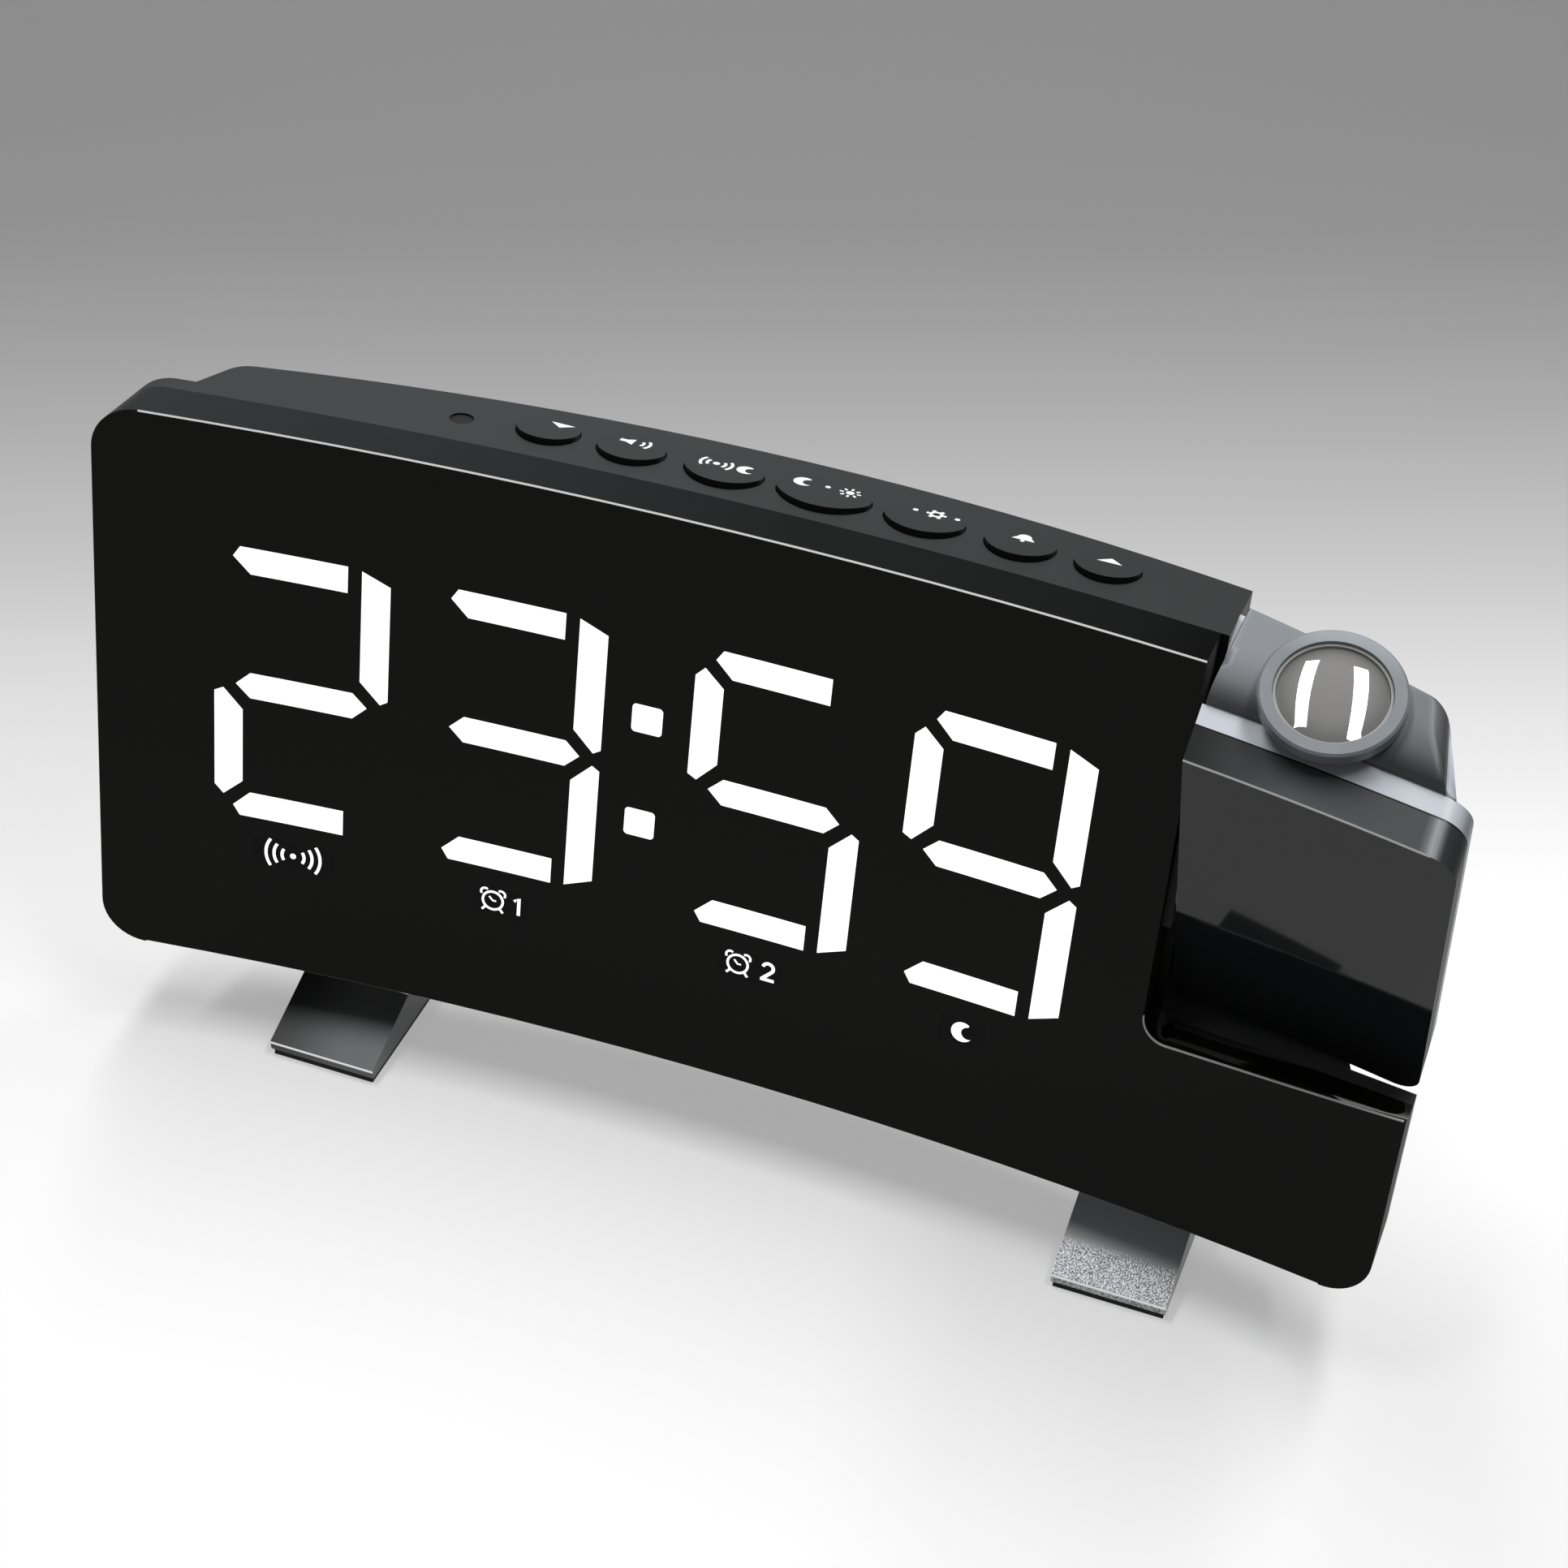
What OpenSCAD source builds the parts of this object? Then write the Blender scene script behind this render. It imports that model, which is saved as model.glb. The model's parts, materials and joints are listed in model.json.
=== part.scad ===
// Projection alarm clock with a curved front, a tilting projector and a focusing lens.
// The housing is drawn upright: X runs to the right, Y away from the user and Z up the face.
// At the end it is leaned back and lifted, so that the rubber pads stand on Z = 0.

/* [Body] */
// Width across the curved front
body_w = 190; // [180:1:220]
// Height of the front face, along its lean
body_h = 87; // [84:1:100]
// Thickness from front to back, at the middle
body_t = 23.5; // [22.5:0.5:30]
// How far the middle of the hollow front lies behind its two sides
front_bow = 8.267; // [6:0.001:10]
// How far the middle of the bulging back stands out behind its two sides
rear_bow = 15.225; // [9.5:0.005:16]
// Radius of the outer corners of the face
corner_r = 6.5; // [3:0.5:9]
// Angle that the face leans back
lean = 6; // [0:1:10]
// Thickness of the moulded walls
wall = 1.8; // [1.5:0.1:2.2]
// Depth of the glossy front panel's edge
panel_t = 7.9; // [7:0.1:8.4]
// Thickness of the glossy face itself
face_t = 2.2; // [1.8:0.1:2.6]
// Depth of the matte rim behind the panel
rim_t = 3; // [2.5:0.1:3.5]
// Depth of the bright chamfer along the glossy edges
edge_break = 0.2; // [0.1:0.05:0.8]
// How far the back's sides stand in from the face's edge
side_in = 7; // [5:0.5:9]

/* [Digits] */
// Width of one digit
digit_w = 25.1; // [20:0.1:26]
// Height of one digit
digit_h = 43.7; // [36:0.1:46]
// Width of a digit's strokes
stroke = 4.1; // [3:0.1:4.6]
// Gap between two strokes
stroke_gap = 1.7; // [1:0.1:2]
// Distance from a digit to the next one in its pair
digit_pitch = 31; // [29:0.5:32]
// Distance between the middles of the two pairs
pair_pitch = 68.67; // [66:0.5:70]
// Place of the colon's middle, from the middle of the clock
colon_x = -15.6; // [-17:0.1:-15]
// Height of the digits' middle above the middle of the face
digit_up = 3.7; // [0.5:0.1:6.5]
// Side of one colon dot
colon_dot = 4.4; // [3:0.1:5]
// Distance between the two colon dots
colon_pitch = 16.7; // [12:0.1:22]
// Distance from the digits' feet down to the middle of the small lit signs
sign_drop = 5.35; // [5.15:0.05:7.35]
// Height of the small windows that the signs shine through
sign_h = 4.8; // [4:0.1:5]

/* [Keys] */
// Width of the smallest top keys
key_w = 8.9; // [8.6:0.1:9.2]
// Width of the large middle key
snooze_w = 13.1; // [12:0.1:13.6]
// Depth of the smallest top keys, front to back
key_d = 8.2; // [7.4:0.1:8.4]
// Depth of the large middle key
snooze_d = 9.6; // [8.6:0.1:9.8]
// How far a key's front edge stands above the top
key_rise = 1; // [0.7:0.1:1.4]
// How far a key's rear edge stands above the top
key_rear = 0.1; // [0:0.05:0.6]
// Travel of a key
key_travel = 0.8; // [0.4:0.1:0.9]
// Gap around a key in its hole
key_gap = 0.15; // [0.1:0.05:0.35]
// Distance of the keys' front edge from the face, at the middle
key_setback = 10.3; // [9.8:0.1:10.4]
// Place of the middle key, from the middle of the clock
key_row_x = 1.35; // [-2:0.05:2]

/* [Projector] */
// Width of the projector, with its gap to the body
projector_w = 35.7; // [34:0.1:38]
// Gap between the projector and the body's side wall
projector_gap = 0.7; // [0.5:0.1:1]
// Gap between the turning projector and the hollow step below it
step_gap = 0.5; // [0.4:0.1:1.5]
// How far the closed projector stands above the body
projector_rise = 3.6; // [2:0.1:5]
// Height of the projector's glossy plate
projector_h = 59.5; // [56:0.1:60]
// Angle that the projector is tilted forward from closed
projector_tilt = 27.7; // [15:0.1:60]
// Depth of the glossy plate's edge on the projector
plate_t = 5.5; // [5:0.1:6]
// Height of the raised part that holds the lens
hump_h = 2.9; // [2:0.1:4]
// Height of the tilt axis above the projector's lower end
pivot_rise = 20.74; // [20:0.02:21.5]
// Distance of the tilt axis behind the middle of the face
pivot_y = 4; // [3.8:0.1:4.4]
// Radius of the hollow pivot shaft
shaft_r = 3; // [2.6:0.1:3.1]
// Radius of the wire hole through the shaft
shaft_hole_r = 1.5; // [1.2:0.1:1.8]
// Running clearance of the turning fits, on the radius
running_gap = 0.05; // [0.02:0.01:0.08]

/* [Lens] */
// Outer radius of the focus ring
ring_r = 9.1; // [8.8:0.1:9.5]
// Height of the focus ring's head
ring_h = 2; // [1.6:0.1:2.4]
// Radius of the lens
lens_r = 6.9; // [6.5:0.1:7.1]
// Distance of the lens's axis in front of the projector's outer back
lens_back = 7.56; // [7.56:0.02:8]
// Height of the lens's dome
dome_h = 1.3; // [0.8:0.1:1.8]
// Radius of the lens cell's neck, where it slides
neck_r = 5.7; // [5.3:0.1:5.75]

/* [Feet] */
// Distance of each foot's middle from the side of the face
foot_side = 34.4; // [25:0.1:45]
// Width of a foot
foot_w = 16.7; // [14:0.1:20]
// Distance from the face's bottom edge down to a foot's front lip
foot_drop = 13.05; // [12:0.05:16]
// How far the front lip stands in front of the middle of the face
foot_reach = 5.5; // [3:0.1:10]
// Slope of a foot's top surface
foot_slope = 27; // [20:1:30]
// Thickness of a foot's front lip
lip_t = 1.65; // [1.2:0.05:2]
// Length of a foot on the table
foot_len = 29; // [27:0.5:34]
// Thickness of the rubber pads
pad_t = 1.2; // [0.8:0.1:2]

/* [Back] */
// Distance of the speaker's middle from the left side of the face
speaker_side = 37; // [35:0.5:40]
// Height of the speaker's middle
speaker_z = 44; // [40:0.5:50]
// Radius of the speaker
speaker_r = 14; // [12:0.5:15]
// Thickness of the speaker
speaker_t = 4.4; // [4:0.1:4.8]
// Place of the battery bay's middle
battery_x = -2; // [-4:0.5:0]
// Radius of the coin cell
cell_r = 10; // [10:0.1:10.4]
// Thickness of the coin cell
cell_t = 3.2; // [2.5:0.1:3.4]
// Place of the power inlet
inlet_x = 31; // [29:0.5:34]
// Place of the USB socket
usb_x = 51; // [49:0.5:52]
// Height of both sockets
socket_z = 13; // [12:0.5:16]

/* [Hidden] */
$fn = 64;
arc_fn = 360;
tiny = 0.01;
big = 400;
half_w = body_w / 2;
front_r = (half_w * half_w + front_bow * front_bow) / (2 * front_bow);
rear_r = (half_w * half_w + rear_bow * rear_bow) / (2 * rear_bow);
pcb_t = 1.6;
fit_gap = 0.1;

// How far the front face lies in front of Y = 0 at a place x.
function front_y(x) = sqrt(front_r * front_r - x * x) - front_r;

// Where the outer back lies at a place x.
rear_centre = body_t - rear_r;
function rear_y(x) = rear_centre + sqrt(rear_r * rear_r - x * x);

// step for the projector
notch_r = 3.6;
notch_x = half_w - projector_w;
panel_x = notch_x - 1.1;

// projector, drawn closed
projector_x = notch_x + projector_gap;
projector_top = body_h + projector_rise;
projector_z = projector_top - projector_h;
projector_corner = 3.6;
projector_rear = 1.8;
projector_r = rear_r + projector_rear;
shell_in = 0.8;
plate_wall = 1.6;
plate_face = 2;
pivot_z = projector_z + pivot_rise;
sweep_r = norm([pivot_y - front_y(half_w - projector_corner), pivot_rise]);
step_r = sweep_r + step_gap;
lens_x = projector_x + 15.2;
lens_y = rear_centre + sqrt(projector_r * projector_r - lens_x * lens_x) - lens_back;
hump_top = projector_top + hump_h;
collar_h = 5.4;
collar_wall = 1.6;
tunnel_r = 5.6;
tunnel_wall = 0.8;
grip_r = shaft_r + 1.8;
lamp_board_z = pivot_z + grip_r + 2.96;
lcd_z = lamp_board_z + 12.5;
lcd_t = 1.8;
lcd_w = 13;
lcd_d = 8;

// digits and the boards behind them
digit_mid = body_h / 2 + digit_up;
sign_z = digit_mid - digit_h / 2 - sign_drop;
board_y = face_t + 3.6;
cell_wall = 1;
reflector_left = colon_x - pair_pitch / 2 - digit_pitch / 2 - digit_w / 2 - 2.4;
reflector_right = colon_x + pair_pitch / 2 + digit_pitch / 2 + digit_w / 2 + cell_wall;
reflector_low = sign_z - sign_h / 2 - cell_wall;
reflector_high = digit_mid + digit_h / 2 + 2.4;
board_low = reflector_low - 1;
board_high = min(reflector_high + 2, body_h - 13.4);

// hinge
wire_r = 1;
boss_x = reflector_right + 2 * wire_r + 2.2;
shaft_end_x = boss_x - 1.8;
boss_r = shaft_r + 1.2;
grip_x = projector_x + 7;
washer_r = shaft_r + 2;
wire_x = grip_x + 3.4;

// screws
screw_r = 1.4;
screw_head_r = 2.6;
screw_head_t = 1.8;
post_r = 3;
post_depth = 6;
tube_r = post_r + 0.7;
tube_floor = 4;

// keys and their board
key_pitches = [14.1, 13.25, 12];
switch_size = 6;
switch_h = 3.4;
plunger_r = 1.6;
top_board_z = body_h - 9.6;
key_flange_z = body_h - wall - 0.1;
key_flange_t = 1;
key_foot_z = top_board_z + pcb_t + switch_h - 1.4;

// battery bay
bay_w = 2 * cell_r + 3;
bay_low = 3.2;
bay_top = bay_low + 2 * cell_r + 1.8;
bay_depth = cell_t + 1.2;
door_edge = 2;
door_tongue = 1.2;
tongue_t = 0.8;
door_y = rear_y(abs(battery_x) + bay_w / 2 + door_edge + door_tongue) - 0.9 - tongue_t;
bay_y = door_y - bay_depth;

// main board
main_board_y = board_y + pcb_t + 4;
main_x0 = -31.5;
main_x1 = 42;
main_z0 = bay_top + 4;
main_z1 = top_board_z - 8;
plug_x = main_x1 - 5;

// speaker
speaker_x = half_w - speaker_side;
speaker_back = rear_y(speaker_x + speaker_r + 1.6) - wall - 0.2;

// feet and pads, on a table that lies at the lean angle below the upright housing
foot_x = half_w - foot_side;
foot_back = foot_len - foot_reach;
foot_screw_y = 10.5;
table_drop = foot_drop * cos(lean) - foot_reach * sin(lean) + lip_t + pad_t;
pad_up = pad_t / cos(lean);
function table_z(y) = (y * sin(lean) - table_drop) / cos(lean);
function slope_z(y) = (y + foot_reach) * tan(foot_slope) - foot_drop;

// Midway between the most forward point, on the tilted projector, and the most rearward one.
function tilted_y(y, z) = pivot_y * cos(lean) + pivot_z * sin(lean)
    + (y - pivot_y) * cos(projector_tilt - lean) - (z - pivot_z) * sin(projector_tilt - lean);
corner_turn = atan(half_w / sqrt(front_r * front_r - half_w * half_w) / tan(projector_tilt - lean));
corner_x = half_w - projector_corner * (1 - sin(corner_turn));
corner_z = projector_top - projector_corner * (1 - cos(corner_turn));
most_forward = min(tilted_y(front_y(corner_x), corner_z), tilted_y(lens_y - ring_r, hump_top + ring_h));
stand_mid = (most_forward + body_t * cos(lean) + body_h * sin(lean)) / 2;

// ---------- shared shapes ----------

// Leans the upright clock back and stands it on its pads, midway between its front and its back.
module stand() {
    translate([0, -stand_mid, table_drop]) rotate([-lean, 0, 0]) children();
}

// Tilts the closed projector forward about its shaft.
module tilt() {
    translate([0, pivot_y, pivot_z]) rotate([projector_tilt, 0, 0])
        translate([0, -pivot_y, -pivot_z]) children();
}

// Extrudes a face outline, drawn in X and Z, from y0 to y1.
module face_prism(y0, y1) {
    translate([0, y1, 0]) rotate([90, 0, 0]) linear_extrude(y1 - y0) children();
}

// A tube whose axis runs along X.
module x_rod(x0, x1, y, z, r) {
    translate([x0, y, z]) rotate([0, 90, 0]) cylinder(r = r, h = x1 - x0);
}

// A tube whose axis runs along Y.
module y_rod(x, y0, y1, z, r) {
    translate([x, y1, z]) rotate([90, 0, 0]) cylinder(r = r, h = y1 - y0);
}

// A block given by its two opposite corners.
module block(low, high) {
    translate(low) cube([for (i = [0:2]) high[i] - low[i]]);
}

// The space behind the front curve, deeper than d.
module behind_front(d) {
    difference() {
        translate([-big, -60, -60]) cube([2 * big, 160, 260]);
        translate([0, -front_r, -61]) cylinder(r = front_r + d, h = 262, $fn = arc_fn);
    }
}

// The layer between depths d0 and d1 behind the front curve.
module front_layer(d0, d1) {
    difference() {
        translate([-half_w - 5, -60, -20]) cube([body_w + 10, 120, body_h + 80]);
        translate([0, -front_r, -21]) cylinder(r = front_r + d0, h = body_h + 82, $fn = arc_fn);
        difference() {
            translate([-half_w - 6, -61, -21]) cube([body_w + 12, 122, body_h + 82]);
            translate([0, -front_r, -22]) cylinder(r = front_r + d1, h = body_h + 84, $fn = arc_fn);
        }
    }
}

// A rectangle from (x0, z0) to (x1, z1) with round corners.
module round_rect(x0, x1, z0, z1, r) {
    translate([x0 + r, z0]) square([x1 - x0 - 2 * r, z1 - z0]);
    translate([x0, z0 + r]) square([x1 - x0, z1 - z0 - 2 * r]);
    for (x = [x0 + r, x1 - r], z = [z0 + r, z1 - r]) translate([x, z]) circle(r = r);
}

// The face of the body, drawn smaller all round by an inset.
module body_outline(inset) {
    round_rect(-half_w + inset, half_w - inset, inset, body_h - inset, corner_r - inset);
}

// The room in the body that the projector turns in, right of x: a round hollow about the tilt axis,
// open above, drawn larger by a gap.
module turning_room(x, gap) {
    r = step_r + gap;
    steps = 32;
    translate([x - gap, 0, 0]) rotate([90, 0, 90]) linear_extrude(projector_w + 20) polygon(concat(
        [for (i = [-steps:steps])
            [pivot_y + r * sin(80 * i / steps), pivot_z - r * cos(80 * i / steps)]],
        [[pivot_y + r, body_h + 40], [pivot_y - r, body_h + 40]]));
}

// The same room with its left edge rounded, for the front panel.
module rounded_room() {
    x_rod(panel_x, half_w + 20, pivot_y, pivot_z, step_r - notch_r);
    x_rod(panel_x + notch_r, half_w + 20, pivot_y, pivot_z, step_r);
    translate([panel_x + notch_r, pivot_y, pivot_z]) rotate([0, 90, 0]) rotate_extrude()
        translate([step_r - notch_r, 0]) circle(r = notch_r);
    block([panel_x, -60, pivot_z - 5], [half_w + 20, body_t + 30, body_h + 40]);
}

// The face of the projector: only its right corners are round.
module projector_outline(inset) {
    r = projector_corner - inset;
    round_rect(projector_x + inset, half_w - inset, projector_z + inset, projector_top - inset, r);
    translate([projector_x + inset, projector_z + inset])
        square([projector_corner, projector_h - 2 * inset]);
}

// The plan of a housing whose back is curved and whose sides slant in to round rear corners.
module back_plan(x_side, x_corner, r_corner, r_back, inset) {
    r = r_corner - inset;
    reach = r_back - r_corner;
    yc = rear_centre + sqrt(reach * reach - x_corner * x_corner);
    x_touch = x_corner * r_back / reach;
    side = [x_side - inset, -2];
    gap = [side[0] - x_corner, side[1] - yc];
    turn = atan2(gap[1], gap[0]) + acos(r / norm(gap));
    intersection() {
        translate([0, rear_centre]) circle(r = r_back - inset, $fn = arc_fn);
        translate([-x_touch, -2]) square([2 * x_touch, body_t + 20]);
    }
    for (s = [-1, 1]) {
        translate([s * x_corner, yc]) circle(r = r);
        polygon([[0, -2], [s * side[0], -2], [s * (x_corner + r * cos(turn)), yc + r * sin(turn)],
            [s * x_corner, yc], [0, yc]]);
    }
}

// The body's back part, drawn smaller by an inset.
module body_back(z0, z1, inset) {
    translate([0, 0, z0]) linear_extrude(z1 - z0)
        back_plan(half_w - side_in, half_w - 15, 4, rear_r, inset);
}

// ---------- digits ----------

// Which strokes of a digit are lit: a, b, c, d, e, f, g.
LIT = [
    [1, 1, 0, 1, 1, 0, 1],
    [1, 1, 1, 1, 0, 0, 1],
    [1, 0, 1, 1, 0, 1, 1],
    [1, 1, 1, 1, 0, 1, 1]];
DIGIT_X = [
    colon_x - pair_pitch / 2 - digit_pitch / 2, colon_x - pair_pitch / 2 + digit_pitch / 2,
    colon_x + pair_pitch / 2 - digit_pitch / 2, colon_x + pair_pitch / 2 + digit_pitch / 2];

// One stroke about the digit's middle: the upright ones taper to points between their neighbours.
module digit_stroke(i) {
    w = digit_w / 2;
    h = digit_h / 2;
    s = stroke;
    g = stroke_gap;
    tip = s / 2;
    if (i == 0) polygon([[-w + 2.7, h - 1.6], [-w + 3.7, h], [w - s - g - 0.3, h],
        [w - s - g - 0.3, h - s], [-w + 5.2, h - s]]);
    if (i == 1) polygon([[w - s, h - 0.3], [w, h - 2], [w, g], [w - 1.1, 1], [w - s, s]]);
    if (i == 2) mirror([0, 1]) digit_stroke(1);
    if (i == 3) mirror([0, 1]) digit_stroke(0);
    if (i == 4) mirror([0, 1]) digit_stroke(5);
    if (i == 5) polygon([[-w, h - 4.6], [-w + 1.3, h - 3.2], [-w + s, h - 5.8], [-w + s, s],
        [-w + 1.3, 1], [-w, g]]);
    if (i == 6) polygon([[-w + 3.1, 0], [-w + 5.2, tip], [w - s - 1, tip], [w - s + 1.1, 0],
        [w - s - 1, -tip], [-w + 5.2, -tip]]);
}

// The strokes of all four digits: the lit ones only, or every one.
module strokes(every) {
    for (d = [0:3], i = [0:6])
        if (every || LIT[d][i] == 1) translate([DIGIT_X[d], digit_mid]) digit_stroke(i);
}

// The small windows below the digits, each with its middle and its width.
SIGNS = [[-66.3, 12.4], [-35.05, 8.4], [2.25, 9.4], [33.75, 6.8]];

module sign_shapes(inset) {
    for (w = SIGNS)
        round_rect(w[0] - w[1] / 2 + inset, w[0] + w[1] / 2 - inset, sign_z - sign_h / 2 + inset,
            sign_z + sign_h / 2 - inset, 0.6);
}

// The two dots of the colon.
module colon() {
    half = colon_dot / 2;
    for (z = [digit_mid - colon_pitch / 2, digit_mid + colon_pitch / 2])
        round_rect(colon_x - half, colon_x + half, z - half, z + half, 0.6);
}

// ---------- front panel and rear cover ----------

SCREWS = [
    [-half_w + 18.5, 9.5], [-half_w + 18.5, body_h - 9.5], [battery_x + bay_w / 2 + 8.5, 9.5],
    [notch_x - 7, body_h - 9.5], [half_w - 18.5, 9.5]];

// The tongue of the rear cover that carries the pivot, drawn larger by a gap.
module hinge_tongue(gap) {
    z = grip_r + 1.7 + gap;
    block([panel_x - wall - gap, pivot_y - boss_r - 0.4 - gap, pivot_z - z],
        [notch_x, pivot_y + 5, pivot_z + z]);
}

// A chamfer along a top edge of the curved front, at height z.
module top_chamfer(z) {
    translate([0, -front_r, z]) rotate_extrude($fn = arc_fn)
        polygon([[front_r - 1, tiny], [front_r - 1, -edge_break - 1], [front_r + edge_break + tiny, tiny]]);
}

module front_panel() {
    color([0.04, 0.04, 0.045]) stand() difference() {
        union() {
            difference() {
                intersection() {
                    face_prism(-20, 20) body_outline(0);
                    front_layer(0, panel_t);
                }
                rounded_room();
                difference() {
                    intersection() {
                        face_prism(-20, 20) body_outline(wall);
                        front_layer(face_t, panel_t + 2);
                    }
                    turning_room(panel_x, wall);
                }
            }
            for (p = SCREWS) intersection() {
                y_rod(p[0], -20, front_y(p[0]) + post_depth, p[1], post_r);
                behind_front(face_t - 0.2);
            }
        }
        for (p = SCREWS) intersection() {
            y_rod(p[0], -20, 20, p[1], screw_r);
            behind_front(face_t + 0.3);
        }
        face_prism(-20, 8) {
            strokes(false);
            colon();
            sign_shapes(0);
        }
        hinge_tongue(fit_gap);
        intersection() {
            top_chamfer(body_h);
            block([-half_w + corner_r, -20, body_h - 2], [notch_x + 1, 3, body_h + 1]);
        }
        mirror([0, 0, 1]) intersection() {
            top_chamfer(0);
            block([-half_w + corner_r, -20, -2], [half_w - corner_r, 3, 1]);
        }
    }
}

// A top key's place, width and depth: its index runs from 0 at the left to 6 at the right.
function key_offset(i) = i == 0 ? 0 : sign(i) * (key_pitches[0]
    + (abs(i) > 1 ? key_pitches[1] : 0) + (abs(i) > 2 ? key_pitches[2] : 0));
function key_x(i) = key_row_x + key_offset(i - 3);
function key_width(i) = key_w + (snooze_w - key_w) * pow(1 - abs(i - 3) / 3, 1.7);
function key_depth(i) = key_d + (snooze_d - key_d) * (1 - abs(i - 3) / 3);
function key_y(i) = key_setback + key_depth(i) / 2;
sensor_x = key_x(0) - 11.8;
sensor_y = key_setback + 1.8;
sensor_r = 1.7;

// An oval of four arcs, drawn larger by a gap.
module oval(w, d, gap) {
    a = 0.62 * d / 2;
    p = w / 2 - a;
    q = d / 2;
    b = (p * p + q * q - a * a) / (2 * (q - a));
    touch = p * b / (b - a);
    for (s = [-1, 1]) translate([s * p, 0]) circle(r = a + gap);
    intersection() {
        translate([0, q - b]) circle(r = b + gap);
        translate([0, b - q]) circle(r = b + gap);
        translate([-touch, -q - gap]) square([2 * touch, 2 * (q + gap)]);
    }
}

// The room that the sliding battery door takes, with its two guide tongues, drawn larger by a gap.
module door_space(gap, z0, z1) {
    w = bay_w / 2 + door_edge + gap;
    wide = w + door_tongue;
    block([battery_x - w, door_y - gap, z0], [battery_x + w, body_t + 9, z1]);
    block([battery_x - wide, door_y - gap, z0], [battery_x + wide, door_y + tongue_t + gap, z1]);
}

// A piece that stands against the inside of the curved back.
module against_back(gap) {
    intersection() {
        children();
        body_back(0, body_h, wall + gap);
    }
}

// A tube of the rear cover from depth y0 to its back wall.
module back_tube(x, y0, z, r) {
    intersection() {
        y_rod(x, y0, body_t + 5, z, r);
        body_back(0.5, body_h - 0.5, 0.5);
    }
}

module rear_cover() {
    tray_w = bay_w / 2 + 5;
    color([0.16, 0.16, 0.17]) stand() difference() {
        union() {
            difference() {
                union() {
                    intersection() {
                        face_prism(-20, 20) body_outline(0);
                        front_layer(panel_t, panel_t + rim_t);
                    }
                    intersection() {
                        face_prism(-20, body_t + 10) body_outline(0);
                        body_back(-1, body_h + 1, 0);
                        behind_front(panel_t + 1);
                    }
                }
                turning_room(notch_x, 0);
                difference() {
                    union() {
                        intersection() {
                            face_prism(-20, 20) body_outline(wall);
                            front_layer(panel_t - 1, panel_t + rim_t - 1.2);
                        }
                        intersection() {
                            face_prism(-20, body_t + 10) body_outline(wall);
                            body_back(-1, body_h + 1, wall);
                            behind_front(panel_t - 1);
                        }
                    }
                    turning_room(notch_x, wall);
                }
            }
            // hinge tongue and bearing boss
            hinge_tongue(0);
            intersection() {
                x_rod(boss_x, notch_x, pivot_y, pivot_z, boss_r);
                behind_front(face_t + fit_gap);
            }
            block([boss_x + 1, pivot_y, pivot_z - 3.5], [notch_x - 0.5, pivot_y + 9, pivot_z + 3.5]);
            for (p = SCREWS) back_tube(p[0], front_y(p[0]) + post_depth, p[1], tube_r);
            // posts that press on the main board
            for (x = [main_x0 + 3, main_x1 - 3], z = [main_z0 + 3, main_z1 - 3])
                back_tube(x, main_board_y + pcb_t, z, 2);
            // ring that holds the speaker
            difference() {
                back_tube(-speaker_x, speaker_back - 2, speaker_z, speaker_r + 1.6);
                y_rod(-speaker_x, speaker_back - 3, speaker_back, speaker_z, speaker_r);
                y_rod(-speaker_x, speaker_back - 1, body_t + 1, speaker_z, speaker_r - 1.4);
            }
            // battery tray
            intersection() {
                block([battery_x - tray_w, bay_y - wall, 1], [battery_x + tray_w, body_t, bay_top + 2]);
                body_back(0.5, body_h, 0.5);
            }
            // shelves under the key board
            for (x = [key_x(0) - 9, key_x(2) + 6.7, key_x(5) + 6]) intersection() {
                block([x - 1, key_setback + 3, top_board_z - 3], [x + 1, body_t, top_board_z]);
                body_back(1, body_h - 1, 0.5);
            }
        }
        x_rod(boss_x - 1, notch_x + 1, pivot_y, pivot_z, shaft_r + running_gap);
        // keys and light sensor
        for (i = [0:6]) translate([key_x(i), key_y(i), body_h - wall - 1]) linear_extrude(wall + 2)
            oval(key_width(i), key_depth(i), key_gap);
        translate([sensor_x, sensor_y, body_h - wall - 1]) cylinder(r = sensor_r, h = wall + 2);
        // screws, from behind
        for (p = SCREWS) {
            y_rod(p[0], -10, body_t + 5, p[1], screw_r + fit_gap);
            y_rod(p[0], front_y(p[0]) + post_depth + tube_floor, body_t + 5, p[1], screw_head_r + 0.3);
        }
        // speaker grille
        for (row = [-4:4], col = [-4:4]) {
            gx = (col + (abs(row) % 2) / 2) * 2.6;
            gz = row * 2.25;
            if (norm([gx, gz]) < speaker_r - 3.4)
                y_rod(gx - speaker_x, 5, body_t + 5, speaker_z + gz, 0.8);
        }
        // battery bay and door
        block([battery_x - bay_w / 2, bay_y, bay_low], [battery_x + bay_w / 2, body_t + 5, bay_top]);
        door_space(fit_gap, -1, bay_top + 1.6);
        // sockets
        y_rod(inlet_x, 5, body_t + 5, socket_z, inlet_r + fit_gap);
        block([usb_x - usb_w / 2 + 0.5 - fit_gap, 5, socket_z - usb_h / 2 + 0.5 - fit_gap],
            [usb_x + usb_w / 2 - 0.5 + fit_gap, body_t + 5, socket_z + usb_h / 2 - 0.5 + fit_gap]);
        // foot screws
        for (s = [-1, 1]) translate([s * foot_x, foot_screw_y, -1]) cylinder(r = screw_r, h = wall + 2);
        // cooling slots
        for (i = [0:5]) block([18 + i * 4, 5, main_z0 + 16], [19.6 + i * 4, body_t + 5, main_z0 + 34]);
    }
}

inlet_r = 3.8;
usb_w = 14;
usb_h = 6.8;

// ---------- display ----------

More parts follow.
